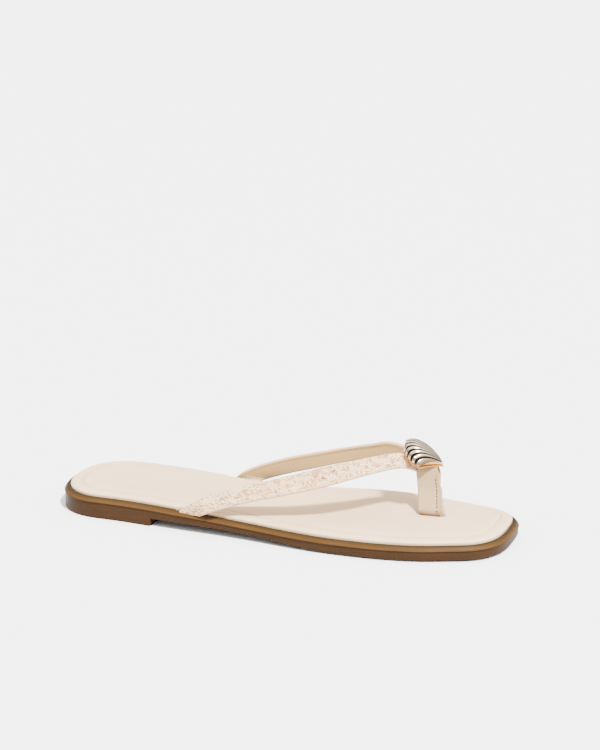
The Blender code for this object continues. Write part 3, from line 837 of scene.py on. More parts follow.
@dataclass
class Insole:
    """Padded footbed: rolled edge, pressed line, pad, and a dimple where the post goes in."""

    last: Last
    anchors: Anchors
    edge_height: float = 0.0037
    edge_roll: float = 0.0030
    pad_rise: float = 0.0005
    pad_inset: float = 0.0072
    line_offset: float = 0.0009
    line_depth: float = 0.00028
    crown: float = 0.0003
    pinch: float = 0.0009
    pinch_fade: float = 0.006
    margin: float = 0.0144
    hollows: tuple = ((0.0004, 0.182, 0.03, 0.024), (0.0003, 0.036, 0.024, 0.018))
    post_base: tuple[float, float] = (0.2105, 0.0039)
    post_half: float = 0.00625
    slot_shift: float = 0.0010
    slot_round: float = 0.0010
    slot_half: float = 0.0017
    dimple: float = 0.0007
    count: int = 330

    def lift(self, inset: Array) -> Array:
        """Height over the underside at a distance inside the edge.

        The edge is a quarter superellipse, then a level border, a pressed line 1 mm wide, and the pad, which
        rises by pad_rise and then by crown.
        """
        roll = np.clip(inset / self.edge_roll, 0, 1)
        side = 0.55 * self.edge_height
        top = side + (self.edge_height - side) * (1 - (1 - roll) ** 2.4) ** (1 / 2.0)
        line = self.line_depth * bell(inset - self.pad_inset + self.line_offset, 0.00045)
        pad = self.pad_rise * smoothstep(self.pad_inset - 0.0008, self.pad_inset + 0.0016, inset)
        return top + pad - line + self.crown * smoothstep(self.pad_inset, 2 * self.pad_inset, inset)

    def level(self) -> float:
        """Height of the pad at the post, over the floor."""
        floor = float(self.last.tray(np.array([self.post_base[0]]))[0]) + self.last.gap
        return floor + self.edge_height + self.pad_rise + self.crown

    def slot_distance(self, plan: Array) -> Array:
        """Distance in plan from the middle line of the post's slot: a straight stretch, shorter than the post is wide
        by twice slot_round, whose middle lies slot_shift in front of the post's."""
        from_middle = np.abs(plan[..., 0] - self.post_base[0] - self.slot_shift)
        along = np.maximum(from_middle - self.post_half + self.slot_round, 0)
        return np.hypot(along, plan[..., 1] - self.post_base[1])

    def settled(self, points: Array, inset: Array) -> Array:
        """Add the soft forms of the padding to points of the top.

        Three sine waves of 0.05 to 0.1 mm cross each other, oval bells sink under the ball and the heel (hollows
        gives each one's depth, place, length and width), and a bell round the slot makes the dimple.

        Args:
            points: Points measured from the insole's back; they are changed.
            inset: Distance of each inside the edge.

        Returns:
            The same points.
        """
        x, y = points[..., 0], points[..., 1]
        soft = 0.00010 * np.sin(x * 95 + 1.3 * np.sin(y * 60)) + 0.00007 * np.sin(y * 150 + x * 40 + 0.7) \
            + 0.00005 * np.sin(x * 210 - y * 120)
        for depth, middle, length, width in self.hollows:
            soft = soft - depth * np.exp(-(((x - middle) / length) ** 2 + (y / width) ** 2))
        inside = smoothstep(self.pad_inset, 2.2 * self.pad_inset, inset)
        points[..., 2] += soft * inside - self.dimple * bell(self.slot_distance(points) - 0.001, 0.0022)
        return points

    def build(self, finish: bpy.types.Material) -> bpy.types.Object:
        """Build the insole.

        Rings follow the outline up the edge and inwards to margin, where the straps pinch the first ones; a ladder
        fills the rest of the top, and another one the base. A mark darkens the pressed line, partly as its own tone
        and partly as painted shade, and paints shade on the insole's lower side in the tray and round the slot.
        """
        slot = self.post_base[0] + np.linspace(-0.0095, 0.0095, 39)
        x = self.last.stations(self.count, np.concatenate([self.anchors.stations(), slot]))
        _, _, at = self.last.loop(x)
        floor = self.last.tray(at) + self.last.gap
        pinch = self.pinch * self.anchors.near(at)
        insets = np.concatenate([[0.0], self.edge_roll * (1 - np.cos(np.linspace(0.12, math.pi / 2, 11))),
                                 np.linspace(0.0036, 0.0054, 5), np.linspace(0.0056, 0.0072, 10),
                                 np.linspace(0.0075, 0.0095, 6), np.linspace(0.0102, self.margin, 6)])
        fades = 1 - smoothstep(0.0, self.pinch_fade, insets)
        foot = [(0.0005 + pinch, floor), (pinch, floor + 0.0005), (pinch, floor + 0.0012)]
        body = rings(self.last, x, foot + [(inset + pinch * fade, floor + lift)
                                           for inset, fade, lift in zip(insets, fades, self.lift(insets))])
        level = np.append(np.zeros(len(foot)), insets)[:, None]
        top = ladder(body[-1], np.linspace(0, 1, 61))
        deep = self.margin + np.minimum(np.abs(top[..., 1] - top[:, :1, 1]), np.abs(top[..., 1] - top[:, -1:, 1]))
        body[len(foot):] = self.settled(body[len(foot):], level[len(foot):])
        top = self.settled(top, deep)
        base = ladder(body[0], np.linspace(0, 1, 4))
        parts = []
        for grid, wrap, inset in ((body, True, level), (top, False, deep), (base, False, 2 * self.pad_inset)):
            # Painted shade: hem darkens the insole's lower side where it sits in the tray, and slit darkens the ring
            # round the post's slot. Line darkens the pressed line, partly as its own tone and partly as shade in its
            # groove.
            line = 0.35 * bell(inset - self.pad_inset + self.line_offset, 0.0004)
            hem = 0.25 * (inset < 1e-6)
            slit = 0.75 * bell(np.maximum(self.slot_distance(grid) - self.slot_half, 0), 0.0006)
            press = np.clip(line + hem + slit, 0, 1)
            parts.append(Surface.grid(self.last.framed(grid), {"press": press}, wrap=wrap))
        return Surface.join(parts).build("footbed", finish, sharp=60)


# Toe post and join


@dataclass
class ToePost:
    """Folded leather band: up from the slot in two layers, round the join of the straps, with a row of stitches."""

    last: Last
    insole: Insole
    band_width: float = 0.0125
    wall: float = 0.0014
    slit: float = 0.0003
    top: tuple[float, float] = (0.2061, 0.0156)
    depth: float = 0.0030
    upright: float = 0.0008
    bow: float = 0.20
    soft_start: float = 0.03
    gather: float = 0.48
    join_height: float = 0.0344
    join_band: float = 0.0060
    join_length: float = 0.0125
    join_lean: float = 24.0
    join_tilt: float = 0.2
    strap_wall: float = 0.0020
    stitch_inset: float = 0.0017
    stitch_pitch: float = 0.0019
    stitch_radius: float = 0.00036
    stitch_lift: float = 0.00016
    dent_depth: float = 0.00016
    crown: float = 0.00012
    corner: float = 0.0024

    def join_frame(self) -> tuple[Array, Array]:
        """Middle of the join in the loop, and its upward direction."""
        lean = math.radians(self.join_lean)
        up = unit(np.array([-self.join_tilt, math.sin(lean), math.cos(lean)]))
        return np.array([*self.top, self.join_height]), up

    def loop_half(self) -> float:
        """Half the height of the loop, on the middle of its wall."""
        return self.join_band / 2 + self.last.gap + self.wall / 2

    def path(self) -> Array:
        """Middle line of the two layers: straight out of the slot, then leaning inwards and back to the join.

        The lean goes with the height. It lags by up to soft_start just over the footbed, so that it starts softly,
        and catches up towards the join; bow adds a bulge inwards, largest halfway.
        """
        base, top = self.insole.post_base, self.top
        floor = float(self.last.tray(np.array([base[0]]))[0])
        start, end = self.insole.level() + self.upright, self.join_height - 1.5 * self.loop_half()
        heights = np.concatenate([[floor - self.depth], np.linspace(start, end, 9)])
        share = np.clip((heights - start) / (self.join_height - start), 0, 1)
        share = share - self.soft_start * (1 - np.exp(-share / self.soft_start)) * (1 - share)
        return np.column_stack([base[0] + (top[0] - base[0]) * share,
                                base[1] + (top[1] - base[1]) * share * (1 + self.bow * (1 - share)), heights])

    def line(self) -> tuple[Array, Array]:
        """Middle line of the whole band and its half width: up outside, round the join, down inside."""
        path, (middle, up) = self.path(), self.join_frame()
        along = np.gradient(path, axis=0)
        along[0] = along[1] = (0, 0, 1)
        out = unit(np.cross(along, [1, 0, 0]))
        side = unit(np.cross(up, [1, 0, 0]))
        leg, eye = (self.slit + self.wall) / 2, self.strap_wall + self.last.gap + self.wall / 2
        count = len(path)
        offset = np.interp(np.arange(count) / (count - 1), (0, 0.75, 1), (leg, leg, (leg + eye) / 2))[:, None]
        rise, turn = np.array([-0.7, 0.0, 0.7]), np.linspace(0, math.pi, 9)[1:-1]
        half = self.loop_half()
        loop = np.vstack([middle - side * eye + up * half * rise[:, None],
                          middle - side * eye * np.cos(turn)[:, None]
                          + up * half * (0.7 + 0.3 * np.sin(turn))[:, None],
                          middle + side * eye + up * half * rise[::-1, None]])
        line = np.vstack([path - out * offset, loop, (path + out * offset)[::-1]])
        narrow = np.concatenate([np.zeros(count), np.sin(np.linspace(0, math.pi, len(loop))), np.zeros(count)])
        return line, self.band_width / 2 * (1 - self.gather * narrow)

    def band(self) -> tuple[Array, Array, Array, Array]:
        """The band's fine middle line, half width, and vectors across and outwards."""
        line, half = self.line()
        fine = smooth_rows(np.column_stack([line, half]), 8)
        middle, run = resample(fine[:, :3], 0.0003)
        width = np.interp(run, run_length(fine[:, :3]), fine[:, 3])
        along = unit(np.gradient(middle, axis=0))
        across = np.broadcast_to(np.array([1.0, 0.0, 0.0]), middle.shape)
        outward = unit(np.cross(across, along))
        across = unit(np.cross(along, outward))
        return middle, width, across, outward

    def section(self, half: Array, wall: float, soft: float) -> tuple[Array, Array]:
        """Rounded rectangle for a band: distances across and outwards, n by m each."""
        arc = np.linspace(0, math.pi / 2, 5)
        flat = np.linspace(-1, 1, 21)
        rows_side, rows_face = [], []
        for s, f, a in [(1, 1, arc[::-1]), (1, -1, arc), (-1, -1, arc[::-1]), (-1, 1, arc)]:
            rows_side.append(s * (half[:, None] - soft + soft * np.cos(a)[None]))
            rows_face.append(np.broadcast_to(f * (wall / 2 - soft + soft * np.sin(a)), (len(half), len(a))))
        top_side = (half[:, None] - soft) * flat[None, 1:-1]
        top_face = np.full_like(top_side, wall / 2)
        side = np.hstack([rows_side[0], rows_side[1], top_side[:, ::-1], rows_side[2], rows_side[3], top_side])
        face = np.hstack([rows_face[0], rows_face[1], -top_face, rows_face[2], rows_face[3], top_face])
        return side, face

    def build(self, leather: bpy.types.Material, thread: bpy.types.Material) -> list[bpy.types.Object]:
        """Build the band, the lining that shows at its toe edge, and the stitches.

        Just over the footbed the heel side draws in along a quarter circle of radius corner, less and less towards
        the toe side. Both faces are crowned by a cosine over the width. Along the seam a bell across the band, times
        a cosine of the stitch pitch, sinks them between stitches. A mark paints shade on the foot just over the
        footbed and in the seam's sunk places, and darkens the hems.
        """
        middle, half, across, outward = self.band()
        if outward[len(outward) // 4, 1] > 0:
            outward = -outward
        toe, level, wide = np.sign(across[:, :1]), self.insole.level(), half[:, None]
        side, face = self.section(half, self.wall, 0.00045)
        dive = np.clip(1 - (middle[:, 2] - level) / self.corner, 0, 1)
        trim = self.corner * (1 - np.sqrt(1 - dive**2))
        heel = np.clip(0.5 - toe * side / (2 * wide), 0, 1)
        between = 0.55 - 0.45 * np.cos(2 * math.pi * run_length(middle) / self.stitch_pitch)
        dent = bell(np.abs(side * toe - wide + self.stitch_inset), 0.0004) * between[:, None]
        side = side + toe * trim[:, None] * heel
        crown = self.crown * np.cos(side / np.maximum(wide, 1e-6) * math.pi / 2)
        points = carried(middle, across, outward, side, face + (crown - self.dent_depth * dent) * np.sign(face))
        # Painted shade: foot darkens the band just over the footbed, and dent darkens the sunk places of the seam;
        # hem darkens the edges.
        foot = 0.9 * np.exp(-np.maximum(points[..., 2] - level - 0.0002, 0) / 0.0007)
        hem = 0.30 * bell(np.abs(side) - wide + 0.0002, 0.0003)
        press = np.clip(foot + hem + 0.45 * dent, 0, 1)
        band = capped(self.last.framed(points), {"press": press}).build("post_band", leather)
        return [band, self.lining(leather), self.stitches(middle, half, across, outward, thread)]

    def lining(self, leather: bpy.types.Material) -> bpy.types.Object:
        """The reinforcement between the two layers, which stands out at the toe edge and flares at the base.

        It stands out by 1.1 mm, and by 2.1 mm more at the footbed, a share that falls off exponentially upwards.
        """
        path = smooth_rows(self.path(), 10)
        middle, run = resample(path, 0.0004)
        share = run / run[-1]
        flare = 0.0011 + 0.0021 * np.exp(-np.maximum(middle[:, 2] - self.insole.level(), 0) / 0.0019)
        half = self.band_width / 2 * (1 - 0.35 * smoothstep(0.75, 1.0, share))
        along = unit(np.gradient(middle, axis=0))
        outward = unit(np.cross(np.array([1.0, 0, 0]), along))
        across = unit(np.cross(along, outward))
        across *= np.sign(across[0, 0])
        side, face = self.section(half, 0.0013, 0.0004)
        side = np.where(side > 0, side + flare[:, None] * np.clip(side / half[:, None], 0, 1) ** 3, side * 0.96)
        points = carried(middle, across, outward, side, face)
        return capped(self.last.framed(points), {"press": 0.12}).build("post_lining", leather)

    def stitches(self, middle: Array, half: Array, across: Array, outward: Array,
                 thread: bpy.types.Material) -> bpy.types.Object:
        """Stitches near the toe edge, on both faces of the post."""
        along = unit(np.gradient(middle, axis=0))
        run = run_length(middle)
        low, high = self.insole.level() + 0.0010, self.join_height - 1.1 * self.loop_half()
        index = np.searchsorted(run, np.arange(0, run[-1], self.stitch_pitch))
        index = index[(middle[index, 2] > low) & (middle[index, 2] < high)]
        toe = np.where(across[index, :1] > 0, 1.0, -1.0)
        at = middle[index] + across[index] * toe * (half[index, None] - self.stitch_inset) \
            + outward[index] * (self.wall / 2 + self.stitch_lift)
        return stitch_row(self.last.framed(at), along[index], across[index], outward[index],
                          self.stitch_pitch * 0.66, self.stitch_radius).build("post_stitches", thread, weld=0)


def stitch_row(at: Array, along: Array, across: Array, outward: Array, length: float, radius: float) -> Surface:
    """A row of stitches, each a small capsule whose ends dip into the material.

    The capsule's radius is that of an ellipse over its length, and its middle line sinks with the square of the
    distance from its centre.

    Args:
        at: Centres.
        along: Directions of the stitches.
        across: Unit vectors across.
        outward: Unit vectors out of the material.
        length: Length of a stitch.
        radius: Its largest radius.

    Returns:
        One surface with them all.
    """
    share = np.array([-1.0, -0.8, -0.35, 0.35, 0.8, 1.0])
    swell = np.sqrt(np.clip(1 - share**2, 0, 1)) * 0.9 + 0.1 * (np.abs(share) < 1)
    angle = np.linspace(0, 2 * math.pi, 7)[:-1]
    local = np.stack([np.broadcast_to(share[:, None] * length / 2, (len(share), len(angle))),
                      radius * swell[:, None] * np.cos(angle)[None],
                      radius * swell[:, None] * np.sin(angle)[None] - radius * 0.9 * share[:, None] ** 2], axis=-1)
    flat = local.reshape(-1, 3)
    points = at[:, None] + along[:, None] * flat[None, :, :1] + across[:, None] * flat[None, :, 1:2] \
        + outward[:, None] * flat[None, :, 2:]
    one = Surface.grid(local, wrap=True).faces
    faces = (one[None] + (np.arange(len(at)) * len(flat))[:, None, None]).reshape(-1, 4)
    return Surface(points.reshape(-1, 3), faces)


# Straps


@dataclass
class Strap:
    """One strap of the V: woven outside that folds over its edges, smooth lining inside, two rows of stitches."""

    last: Last
    post: ToePost
    side: Side
    anchors: tuple[float, float]
    table: tuple
    wall: float = 0.0020
    height: float = 0.045
    tab: float = 0.010
    outset: float = 0.0012
    turn: float = 0.0019
    tip_overlap: float = 0.0005
    pitch: float = 0.00024
    weave: float = 0.00125
    relief: float = 0.00028
    crown: float = 0.00025
    columns: int = 49
    lining_inset: float = 0.0004
    lining_rise: float = 0.00032
    stitch_inset: float = 0.0011
    stitch_pitch: float = 0.0021
    stitch_length: float = 0.0015
    stitch_radius: float = 0.00022

    def join_rows(self) -> Array:
        """The end in the post's loop: flat against the other strap, running to the toe."""
        middle, up = self.post.join_frame()
        out = np.cross([1, 0, 0], up)
        out = -out * self.side.value * np.sign(out[1])
        shift = -out * (self.wall - self.tip_overlap) / 2
        ahead = np.array([-0.52, 0.0, 0.3])[:, None] * np.array([[self.post.join_length, 0, 0]])
        at = middle + shift + ahead
        return np.hstack([at - up * self.post.join_band / 2, at + up * self.post.join_band / 2])

    def rails(self) -> Array:
        """Lower and upper edge, n by 6: tab under the insole, quarter turn at its edge, then the table's rows."""
        last, side = self.last, self.side.value
        rows = np.array(self.table) * np.array([last.length, last.ball_width, self.height] * 2)
        ends = np.array([self.anchors[1], self.anchors[0]])
        edge = last.edge(ends, self.side) + side * self.outset
        floor = last.tray(ends) - last.gap / 3 - self.wall / 2
        angles = np.linspace(0, math.pi / 2, 16)
        inside = np.concatenate([[self.tab], (1 - np.sin(angles)) * self.turn])
        up = np.concatenate([[0.0], (1 - np.cos(angles)) * self.turn])
        start = np.column_stack([np.full_like(up, ends[0]), edge[0] - side * inside, floor[0] + up,
                                 np.full_like(up, ends[1]), edge[1] - side * inside, floor[1] + up])
        rest = smooth_rows(np.vstack([start[-1], rows, self.join_rows()]), 30)
        return np.vstack([start[:-1], rest])

    def ribbon(self) -> tuple[Array, Array, Array, Array, Array]:
        """Middle line, half width, vectors across and outwards, and the distance along."""
        rails, run = resample(self.rails(), self.pitch)
        low, high = rails[:, :3], rails[:, 3:]
        middle, across = (low + high) / 2, high - low
        half = np.linalg.norm(across, axis=1) / 2
        across = unit(across)
        along = unit(np.gradient(middle, axis=0))
        outward = unit(np.cross(along, across))
        half_way = len(outward) // 2
        outward = outward * np.sign(outward[half_way, 1] * self.side.value)
        return middle, half, across, outward, run

    def woven(self, u: Array, v: Array) -> tuple[Array, Array]:
        """Height (0 to 1) and which strip is on top (1 along, 0 across), for thread counts u and v.

        Each strip is a rounded bar that dives under every second strip of the other set; the surface is the
        higher of the two.
        """
        over = (0.5 + 0.5 * np.cos(math.pi * (u - 0.5 + np.floor(v)))) ** 0.6
        under = (0.5 - 0.5 * np.cos(math.pi * (v - 0.5 + np.floor(u)))) ** 0.6
        warp = np.abs(np.sin(math.pi * v)) ** 0.45 * over
        weft = np.abs(np.sin(math.pi * u)) ** 0.45 * under
        return np.maximum(warp, weft), 1.0 * (warp > weft)

    def build(self, name: str, weave: bpy.types.Material, lining: bpy.types.Material,
              thread: bpy.types.Material) -> list[bpy.types.Object]:
        """Build the woven strap, its lining and the lining's stitches.

        The section is a flat band with half-round edges. Thread counts are the distances along the strap and round
        its section over the weave's pitch, with slight sine wander. The surface moves along its normal by relief
        times the weave's height less a half, and by a cosine crown; both fade out round each edge.
        """
        middle, half, across, outward, run = self.ribbon()
        flat, front = np.linspace(-1, 1, self.columns), self.columns // 2
        arc = np.linspace(0, math.pi, 9)[1:-1]
        span = (half - self.wall / 2)[:, None]
        top_side, under_side = span * flat[None], span * flat[None, ::4][:, ::-1]
        right_side = span + self.wall / 2 * np.sin(arc)[None]
        right_face = np.broadcast_to(self.wall / 2 * np.cos(arc), right_side.shape)
        side = np.hstack([top_side, right_side, under_side, -right_side])
        face = np.hstack([np.full_like(top_side, self.wall / 2), right_face,
                          np.full_like(under_side, -self.wall / 2), -right_face])
        steps = np.hypot(np.diff(side, axis=1), np.diff(face, axis=1))
        around = np.hstack([np.zeros((len(run), 1)), np.cumsum(steps, axis=1)])
        around = around - around[:, front][:, None]
        wander = 0.0004 * np.sin(run * 210)[:, None] + 0.00025 * np.sin(run * 533 + 1)[:, None]
        u = (run[:, None] + 0.0002 * np.sin(around * 900)) / self.weave
        v = (around + wander) / self.weave
        height, warp = self.woven(u, v)
        wrap = np.broadcast_to(np.clip(1.6 * np.cos(arc), 0, 1), right_side.shape)
        outer = np.hstack([np.ones_like(top_side), wrap, 0 * under_side, wrap[:, ::-1]])
        swell = self.relief * (height - 0.5) * outer
        crown = self.crown * np.cos(side / half[:, None] * math.pi / 2) * outer
        points = carried(middle, across, outward, side, face)
        normal = unit(np.cross(np.gradient(points, axis=0), np.roll(points, -1, 1) - np.roll(points, 1, 1)))
        lean = np.sign((normal[:, front] * outward).sum(axis=1).mean())
        points = points + normal * lean * (swell + crown)[..., None]
        marks = {"height": height * outer + 0.6 * (1 - outer), "warp": warp, "fold": 1 - outer}
        strap = capped(self.last.framed(points), marks, np.stack([u, v], axis=-1)).build(
            f"{name}_weave", weave, sharp=80)
        return [strap, self.lining_band(name, lining), self.lining_stitches(name, thread)]

    def lining_band(self, name: str, lining: bpy.types.Material) -> bpy.types.Object:
        """The smooth lining: a thin crowned band on the inner face, with small creases that fan out at its foot.

        The creases are a sine along the strap, slanted over the width, times a bell round the foot; a slower sine
        lets the band sag a little. It starts under the footbed's edge and takes every second row of the ribbon.
        """
        middle, half, across, outward, run = (column[40::2] for column in self.ribbon())
        wide = half - self.lining_inset
        share = np.concatenate([np.linspace(-1, 1, 33), np.linspace(1, -1, 9)])
        side = wide[:, None] * share[None]
        dip = np.clip(1 - np.abs(share) ** 8, 0, 1) * (np.arange(len(share)) < 33)
        crease = 0.00010 * np.sin(run[:, None] * 1900 + share[None] * 2.2) * bell(run - 0.022, 0.007)[:, None]
        sag = 0.00008 * np.sin(run * 130)[:, None]
        face = -self.wall / 2 - (self.lining_rise + crease + sag) * dip[None] + 0.0001 * (dip[None] < 1e-9)
        points = carried(middle, across, outward, side, face)
        border = np.abs(side) - wide[:, None]
        # Painted shade: a dark strip along each edge, where the lining meets the strap's folded edge, and along each
        # stitch line.
        press = np.clip(0.8 * bell(border + 0.0002, 0.0003) + 0.45 * bell(border + self.stitch_inset, 0.0003), 0, 1)
        return capped(self.last.framed(points), {"press": press}).build(f"{name}_lining", lining, sharp=70)

    def lining_stitches(self, name: str, thread: bpy.types.Material) -> bpy.types.Object:
        """Two rows of stitches on the lining."""
        middle, half, across, outward, run = self.ribbon()
        along = unit(np.gradient(middle, axis=0))
        index = np.searchsorted(run, np.arange(0.016, run[-1] - 0.012, self.stitch_pitch))
        rows = []
        for edge in (-1.0, 1.0):
            at = middle[index] + across[index] * edge * (half[index, None] - self.lining_inset - self.stitch_inset) \
                - outward[index] * (self.wall / 2 + self.lining_rise)
            rows.append(stitch_row(self.last.framed(at), along[index], across[index], -outward[index],
                                   self.stitch_length, self.stitch_radius))
        return Surface.join(rows).build(f"{name}_stitches", thread, weld=0)


OUTER_TABLE = (
    (0.388, -0.492, 0.321, 0.345, -0.466, 0.416), (0.426, -0.481, 0.403, 0.387, -0.418, 0.518),
    (0.488, -0.453, 0.513, 0.450, -0.369, 0.623), (0.560, -0.409, 0.617, 0.528, -0.301, 0.741),
    (0.636, -0.326, 0.722, 0.607, -0.217, 0.866), (0.699, -0.174, 0.798, 0.677, -0.079, 0.936),
    (0.744, 0.007, 0.804, 0.729, 0.070, 0.958), (0.766, 0.093, 0.780, 0.755, 0.136, 0.942),
)
INNER_TABLE = (
    (0.416, 0.385, 0.269, 0.369, 0.313, 0.380), (0.464, 0.412, 0.360, 0.421, 0.314, 0.516),
    (0.516, 0.424, 0.443, 0.480, 0.329, 0.627), (0.572, 0.422, 0.545, 0.540, 0.339, 0.718),
    (0.631, 0.400, 0.650, 0.604, 0.329, 0.821), (0.687, 0.371, 0.736, 0.664, 0.299, 0.918),
    (0.729, 0.334, 0.798, 0.710, 0.269, 0.990), (0.767, 0.286, 0.760, 0.748, 0.266, 0.956),
)


# Shell


@dataclass
class Shell:
    """Cast scallop over the join: a ribbed dome with beaded margin, a plain flange and a hollow underside."""

    last: Last
    radius: float = 0.0110
    dome: float = 0.0072
    wall: float = 0.0012
    edge: float = 0.0011
    saddle: float = 0.0023
    slope: float = 20.4
    ribs: int = 13
    rib_rise: float = 0.0004
    rib_power: float = 0.45
    scallop: float = 0.0004
    bead: float = 0.00060
    bead_place: float = 0.95
    bead_width: float = 0.035
    tip: tuple[float, float, float] = (0.2145, 0.0159, 0.0368)
    fan: float = 49.0
    roundness: float = 0.9
    peak: float = 0.78
    side_power: float = 2.1
    plain: float = 0.962
    plain_blend: float = 0.018

    def form(self, reach: Array, turn: Array, inner: bool) -> tuple[Array, Array, Array]:
        """Points of one face, groove depth (0 to 1) and flange share.

        Rays leave the tip within the fan angle, longest in the middle. The height is nought on the rim and
        largest past the middle of the rays. Cosine ribs, broadened by a power, follow the rays and swell into beads
        at the margin. Grooves are where the ribs are not; they carry the dark patina, spread wider to the sides and
        near the tip as a painted dark reflection.

        Args:
            reach: 0 at the tip to 1 at the margin.
            turn: -1 to 1 across the ribs.
            inner: Whether this is the plain inner face, drawn in by the wall.

        Returns:
            Points, grooves and flange, over the grid.
        """
        reach, turn = np.meshgrid(reach, turn, indexing="ij")
        angle = math.radians(self.fan) * turn
        radius = 2 * self.radius * reach * np.cos(angle) ** self.roundness
        wave = np.cos(math.pi * turn * self.ribs)
        ridge = ((wave + 1) / 2) ** self.rib_power
        ribbed = 1 - smoothstep(self.plain, self.plain + self.plain_blend, np.abs(turn))
        ray = np.clip(reach**0.9 * (1 - reach**4), 0, 1) ** 0.5
        rise = ray * np.clip(1 - np.abs(turn) ** self.side_power, 0, 1) ** 0.5 / self.peak
        if inner:
            back, side = radius * np.cos(angle), radius * np.sin(angle)
            shrink = 1 - self.wall / self.radius
            back, side = self.radius + (back - self.radius) * shrink, side * shrink
            height = (self.dome - self.wall) * rise
        else:
            scallop = self.scallop * (ridge - 0.55) * smoothstep(0.8, 1.0, reach) * ribbed
            radius = radius + scallop * 2
            back, side = radius * np.cos(angle), radius * np.sin(angle)
            bead = self.bead * bell(reach - self.bead_place, self.bead_width) * (ridge - 0.3)
            rib = self.rib_rise * reach**0.8 * (ridge * 1.5 - 1.0)
            height = self.dome * rise + (rib + bead) * np.minimum(1, 2.5 * rise + 0.25 * (reach > 0.9)) * ribbed
        up = height - self.saddle * (side / self.radius) ** 2 + back * math.tan(math.radians(self.slope))
        points = np.stack([-back, side, up], axis=-1) + np.array(self.tip)
        # Painted dark reflection: the grooves' dark colour spreads wider to the sides and near the tip.
        dark_reflection_spread = 1 + 0.5 * smoothstep(0.1, 0.7, np.abs(turn)) + 0.4 * (1 - reach)
        groove = (1 - ridge) * dark_reflection_spread * ribbed * smoothstep(0.0, 0.12, reach)
        return points, groove, 1 - ribbed

    def build(self, finish: bpy.types.Material) -> bpy.types.Object:
        """Build the shell: outer face, edge, inner face."""
        turn = np.linspace(-1, 1, 16 * self.ribs + 1)
        reach = 1 - (1 - np.linspace(0, 1, 90)) ** 1.35
        outer, groove, flange = self.form(reach, turn, False)
        inner, _, _ = self.form(reach, turn, True)
        drop = np.array([0, 0, -self.edge])
        parts = [Surface.grid(self.last.framed(outer), {"groove": groove, "flange": flange}),
                 Surface.grid(self.last.framed(inner + drop), {"groove": 0.6, "flange": 0.0})]
        borders = [(outer[:, 0], inner[:, 0]), (outer[-1], inner[-1]), (outer[:, -1], inner[:, -1])]
        for rim, back in borders:
            bulge = unit(rim - back) * 0.00025
            rows = np.stack([rim, rim + bulge + drop * 0.3, rim + bulge + drop * 0.7, rim + drop, back + drop])
            parts.append(Surface.grid(self.last.framed(rows), {"groove": 0.0, "flange": 1.0}))
        return Surface.join(parts).build("shell_cast", finish, sharp=50)


# Studio


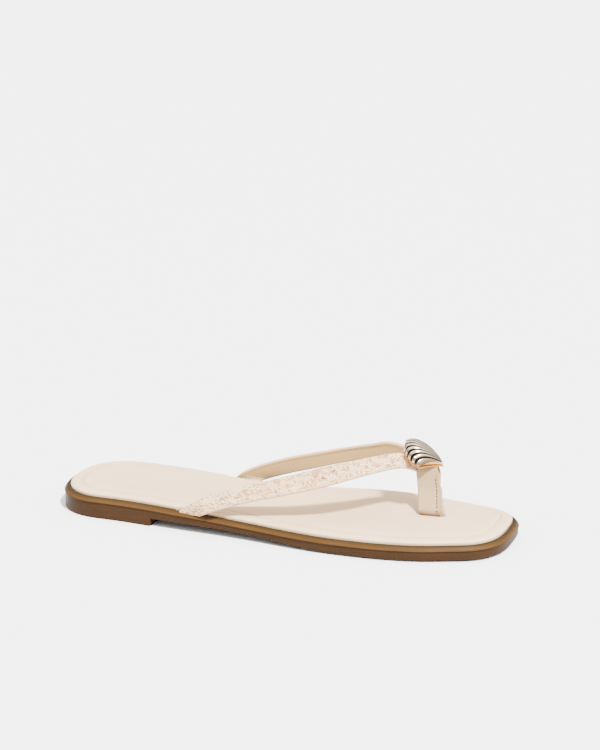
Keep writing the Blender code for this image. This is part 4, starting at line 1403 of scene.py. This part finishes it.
@dataclass(frozen=True)
class Studio:
    """Pale floor, soft lights and the photograph's viewpoint."""

    eye: tuple[float, float, float] = (0.489676, -1.116134, 0.424048)
    aim: tuple[float, float, float] = (0.003368, 0.281483, 0.0)
    lens: float = 107.096
    sensor: float = 36.0
    clip: tuple[float, float] = (0.05, 60.0)
    floor_size: float = 60.0
    horizon: float = 0.25
    zenith: float = 3.45
    key_from: tuple[float, float, float] = (0.52, -0.42, 1.0)
    key_away: float = 3.0
    key_power: float = 14.6
    key_angle: float = 7.0

    def floor(self, finish: bpy.types.Material) -> bpy.types.Object:
        """A wide flat grid at height 0."""
        line = np.linspace(-self.floor_size / 2, self.floor_size / 2, 9)
        x, y = np.meshgrid(line, line, indexing="ij")
        return Surface.grid(np.stack([x, y, np.zeros_like(x)], axis=-1)).build("floor", finish)

    def key(self) -> bpy.types.Object:
        """The key light: far away, high over the toe, with soft-edged shadows that fall towards the heel."""
        light = bpy.data.lights.new("key", "SUN")
        light.energy, light.angle = self.key_power, math.radians(self.key_angle)
        made = bpy.data.objects.new("key", light)
        made.location = Vector(self.key_from) * self.key_away
        made.rotation_euler = Vector(self.key_from).to_track_quat("Z", "Y").to_euler()
        bpy.context.scene.collection.objects.link(made)
        return made

    def camera(self) -> bpy.types.Object:
        """The photograph's camera."""
        data = bpy.data.cameras.new("viewpoint")
        data.lens, data.sensor_width, data.sensor_fit = self.lens, self.sensor, "AUTO"
        data.clip_start, data.clip_end = self.clip
        made = bpy.data.objects.new("viewpoint", data)
        made.location = self.eye
        made.rotation_euler = (Vector(self.aim) - Vector(self.eye)).to_track_quat("-Z", "Y").to_euler()
        bpy.context.scene.collection.objects.link(made)
        bpy.context.scene.camera = made
        return made

    def world(self) -> None:
        """A soft surround, from horizon to zenith: strength is a straight mix by the height of the direction."""
        world = bpy.data.worlds.new("surround")
        bpy.context.scene.world = world
        world.use_nodes = True
        tree = world.node_tree
        height = tree.nodes.new("ShaderNodeSeparateXYZ")
        tree.links.new(tree.nodes.new("ShaderNodeTexCoord").outputs["Generated"], height.inputs[0])
        power = tree.nodes.new("ShaderNodeMapRange")
        tree.links.new(height.outputs["Z"], power.inputs["Value"])
        power.inputs["To Min"].default_value, power.inputs["To Max"].default_value = self.horizon, self.zenith
        tree.links.new(power.outputs["Result"], tree.nodes["Background"].inputs["Strength"])
        tree.nodes["Background"].inputs["Color"].default_value = (1.0, 1.0, 1.0, 1.0)

    def build(self) -> None:
        """Make everything that isn't the sandal."""
        self.world()
        self.floor(StudioFloor().make())
        self.key()
        self.camera()


# Assembly


def attach(pieces: list[bpy.types.Object], node: str) -> None:
    """Let pieces ride on the sandal and stand for a CAD node.

    Args:
        pieces: The pieces that stand for the node.
        node: The CAD node.
    """
    for piece in pieces:
        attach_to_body(piece, "root")
        piece.data.calc_loop_triangles()
        log.info("%s: %d triangles", piece.name, len(piece.data.loop_triangles))
    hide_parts(node)


def main() -> None:
    """Build the sandal piece by piece on the frame."""
    logging.basicConfig(level=logging.INFO, format="%(name)s %(message)s")
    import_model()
    Studio().build()
    last, anchors = Last(), Anchors()
    cream = SmoothLeather("footbed_leather", srgb(216, 185, 150), srgb(210, 177, 140), srgb(118, 88, 54))
    strip = SmoothLeather("post_leather", srgb(168, 142, 108), srgb(158, 131, 96), srgb(84, 54, 22), grain=1900.0)
    lining = SmoothLeather("lining_leather", srgb(196, 175, 132), srgb(188, 164, 116), srgb(112, 80, 40),
                           grain=2100.0).make()
    weave = RaffiaWeave().make()
    tan_thread = SewingThread("tan_thread", srgb(138, 108, 68), srgb(100, 74, 42)).make()
    dark_thread = SewingThread("dark_thread", srgb(70, 54, 36), srgb(46, 34, 22)).make()

    sole = Outsole(last, anchors).build(MouldedRubber().make())
    attach([sole], "outsole")

    insole = Insole(last, anchors)
    footbed = insole.build(cream.make())
    attach([footbed], "insole")

    post = ToePost(last, insole)
    attach(post.build(strip.make(), dark_thread), "toe_post")

    for name, side, ends, table in (("outer_strap", Side.OUTER, anchors.outer, OUTER_TABLE),
                                    ("inner_strap", Side.INNER, anchors.inner, INNER_TABLE)):
        strap = Strap(last, post, side, ends, table)
        attach(strap.build(name, weave, lining, tan_thread), "straps")

    attach([Shell(last).build(PaleGold().make())], "shell_ornament")


if __name__ == "__main__":
    main()
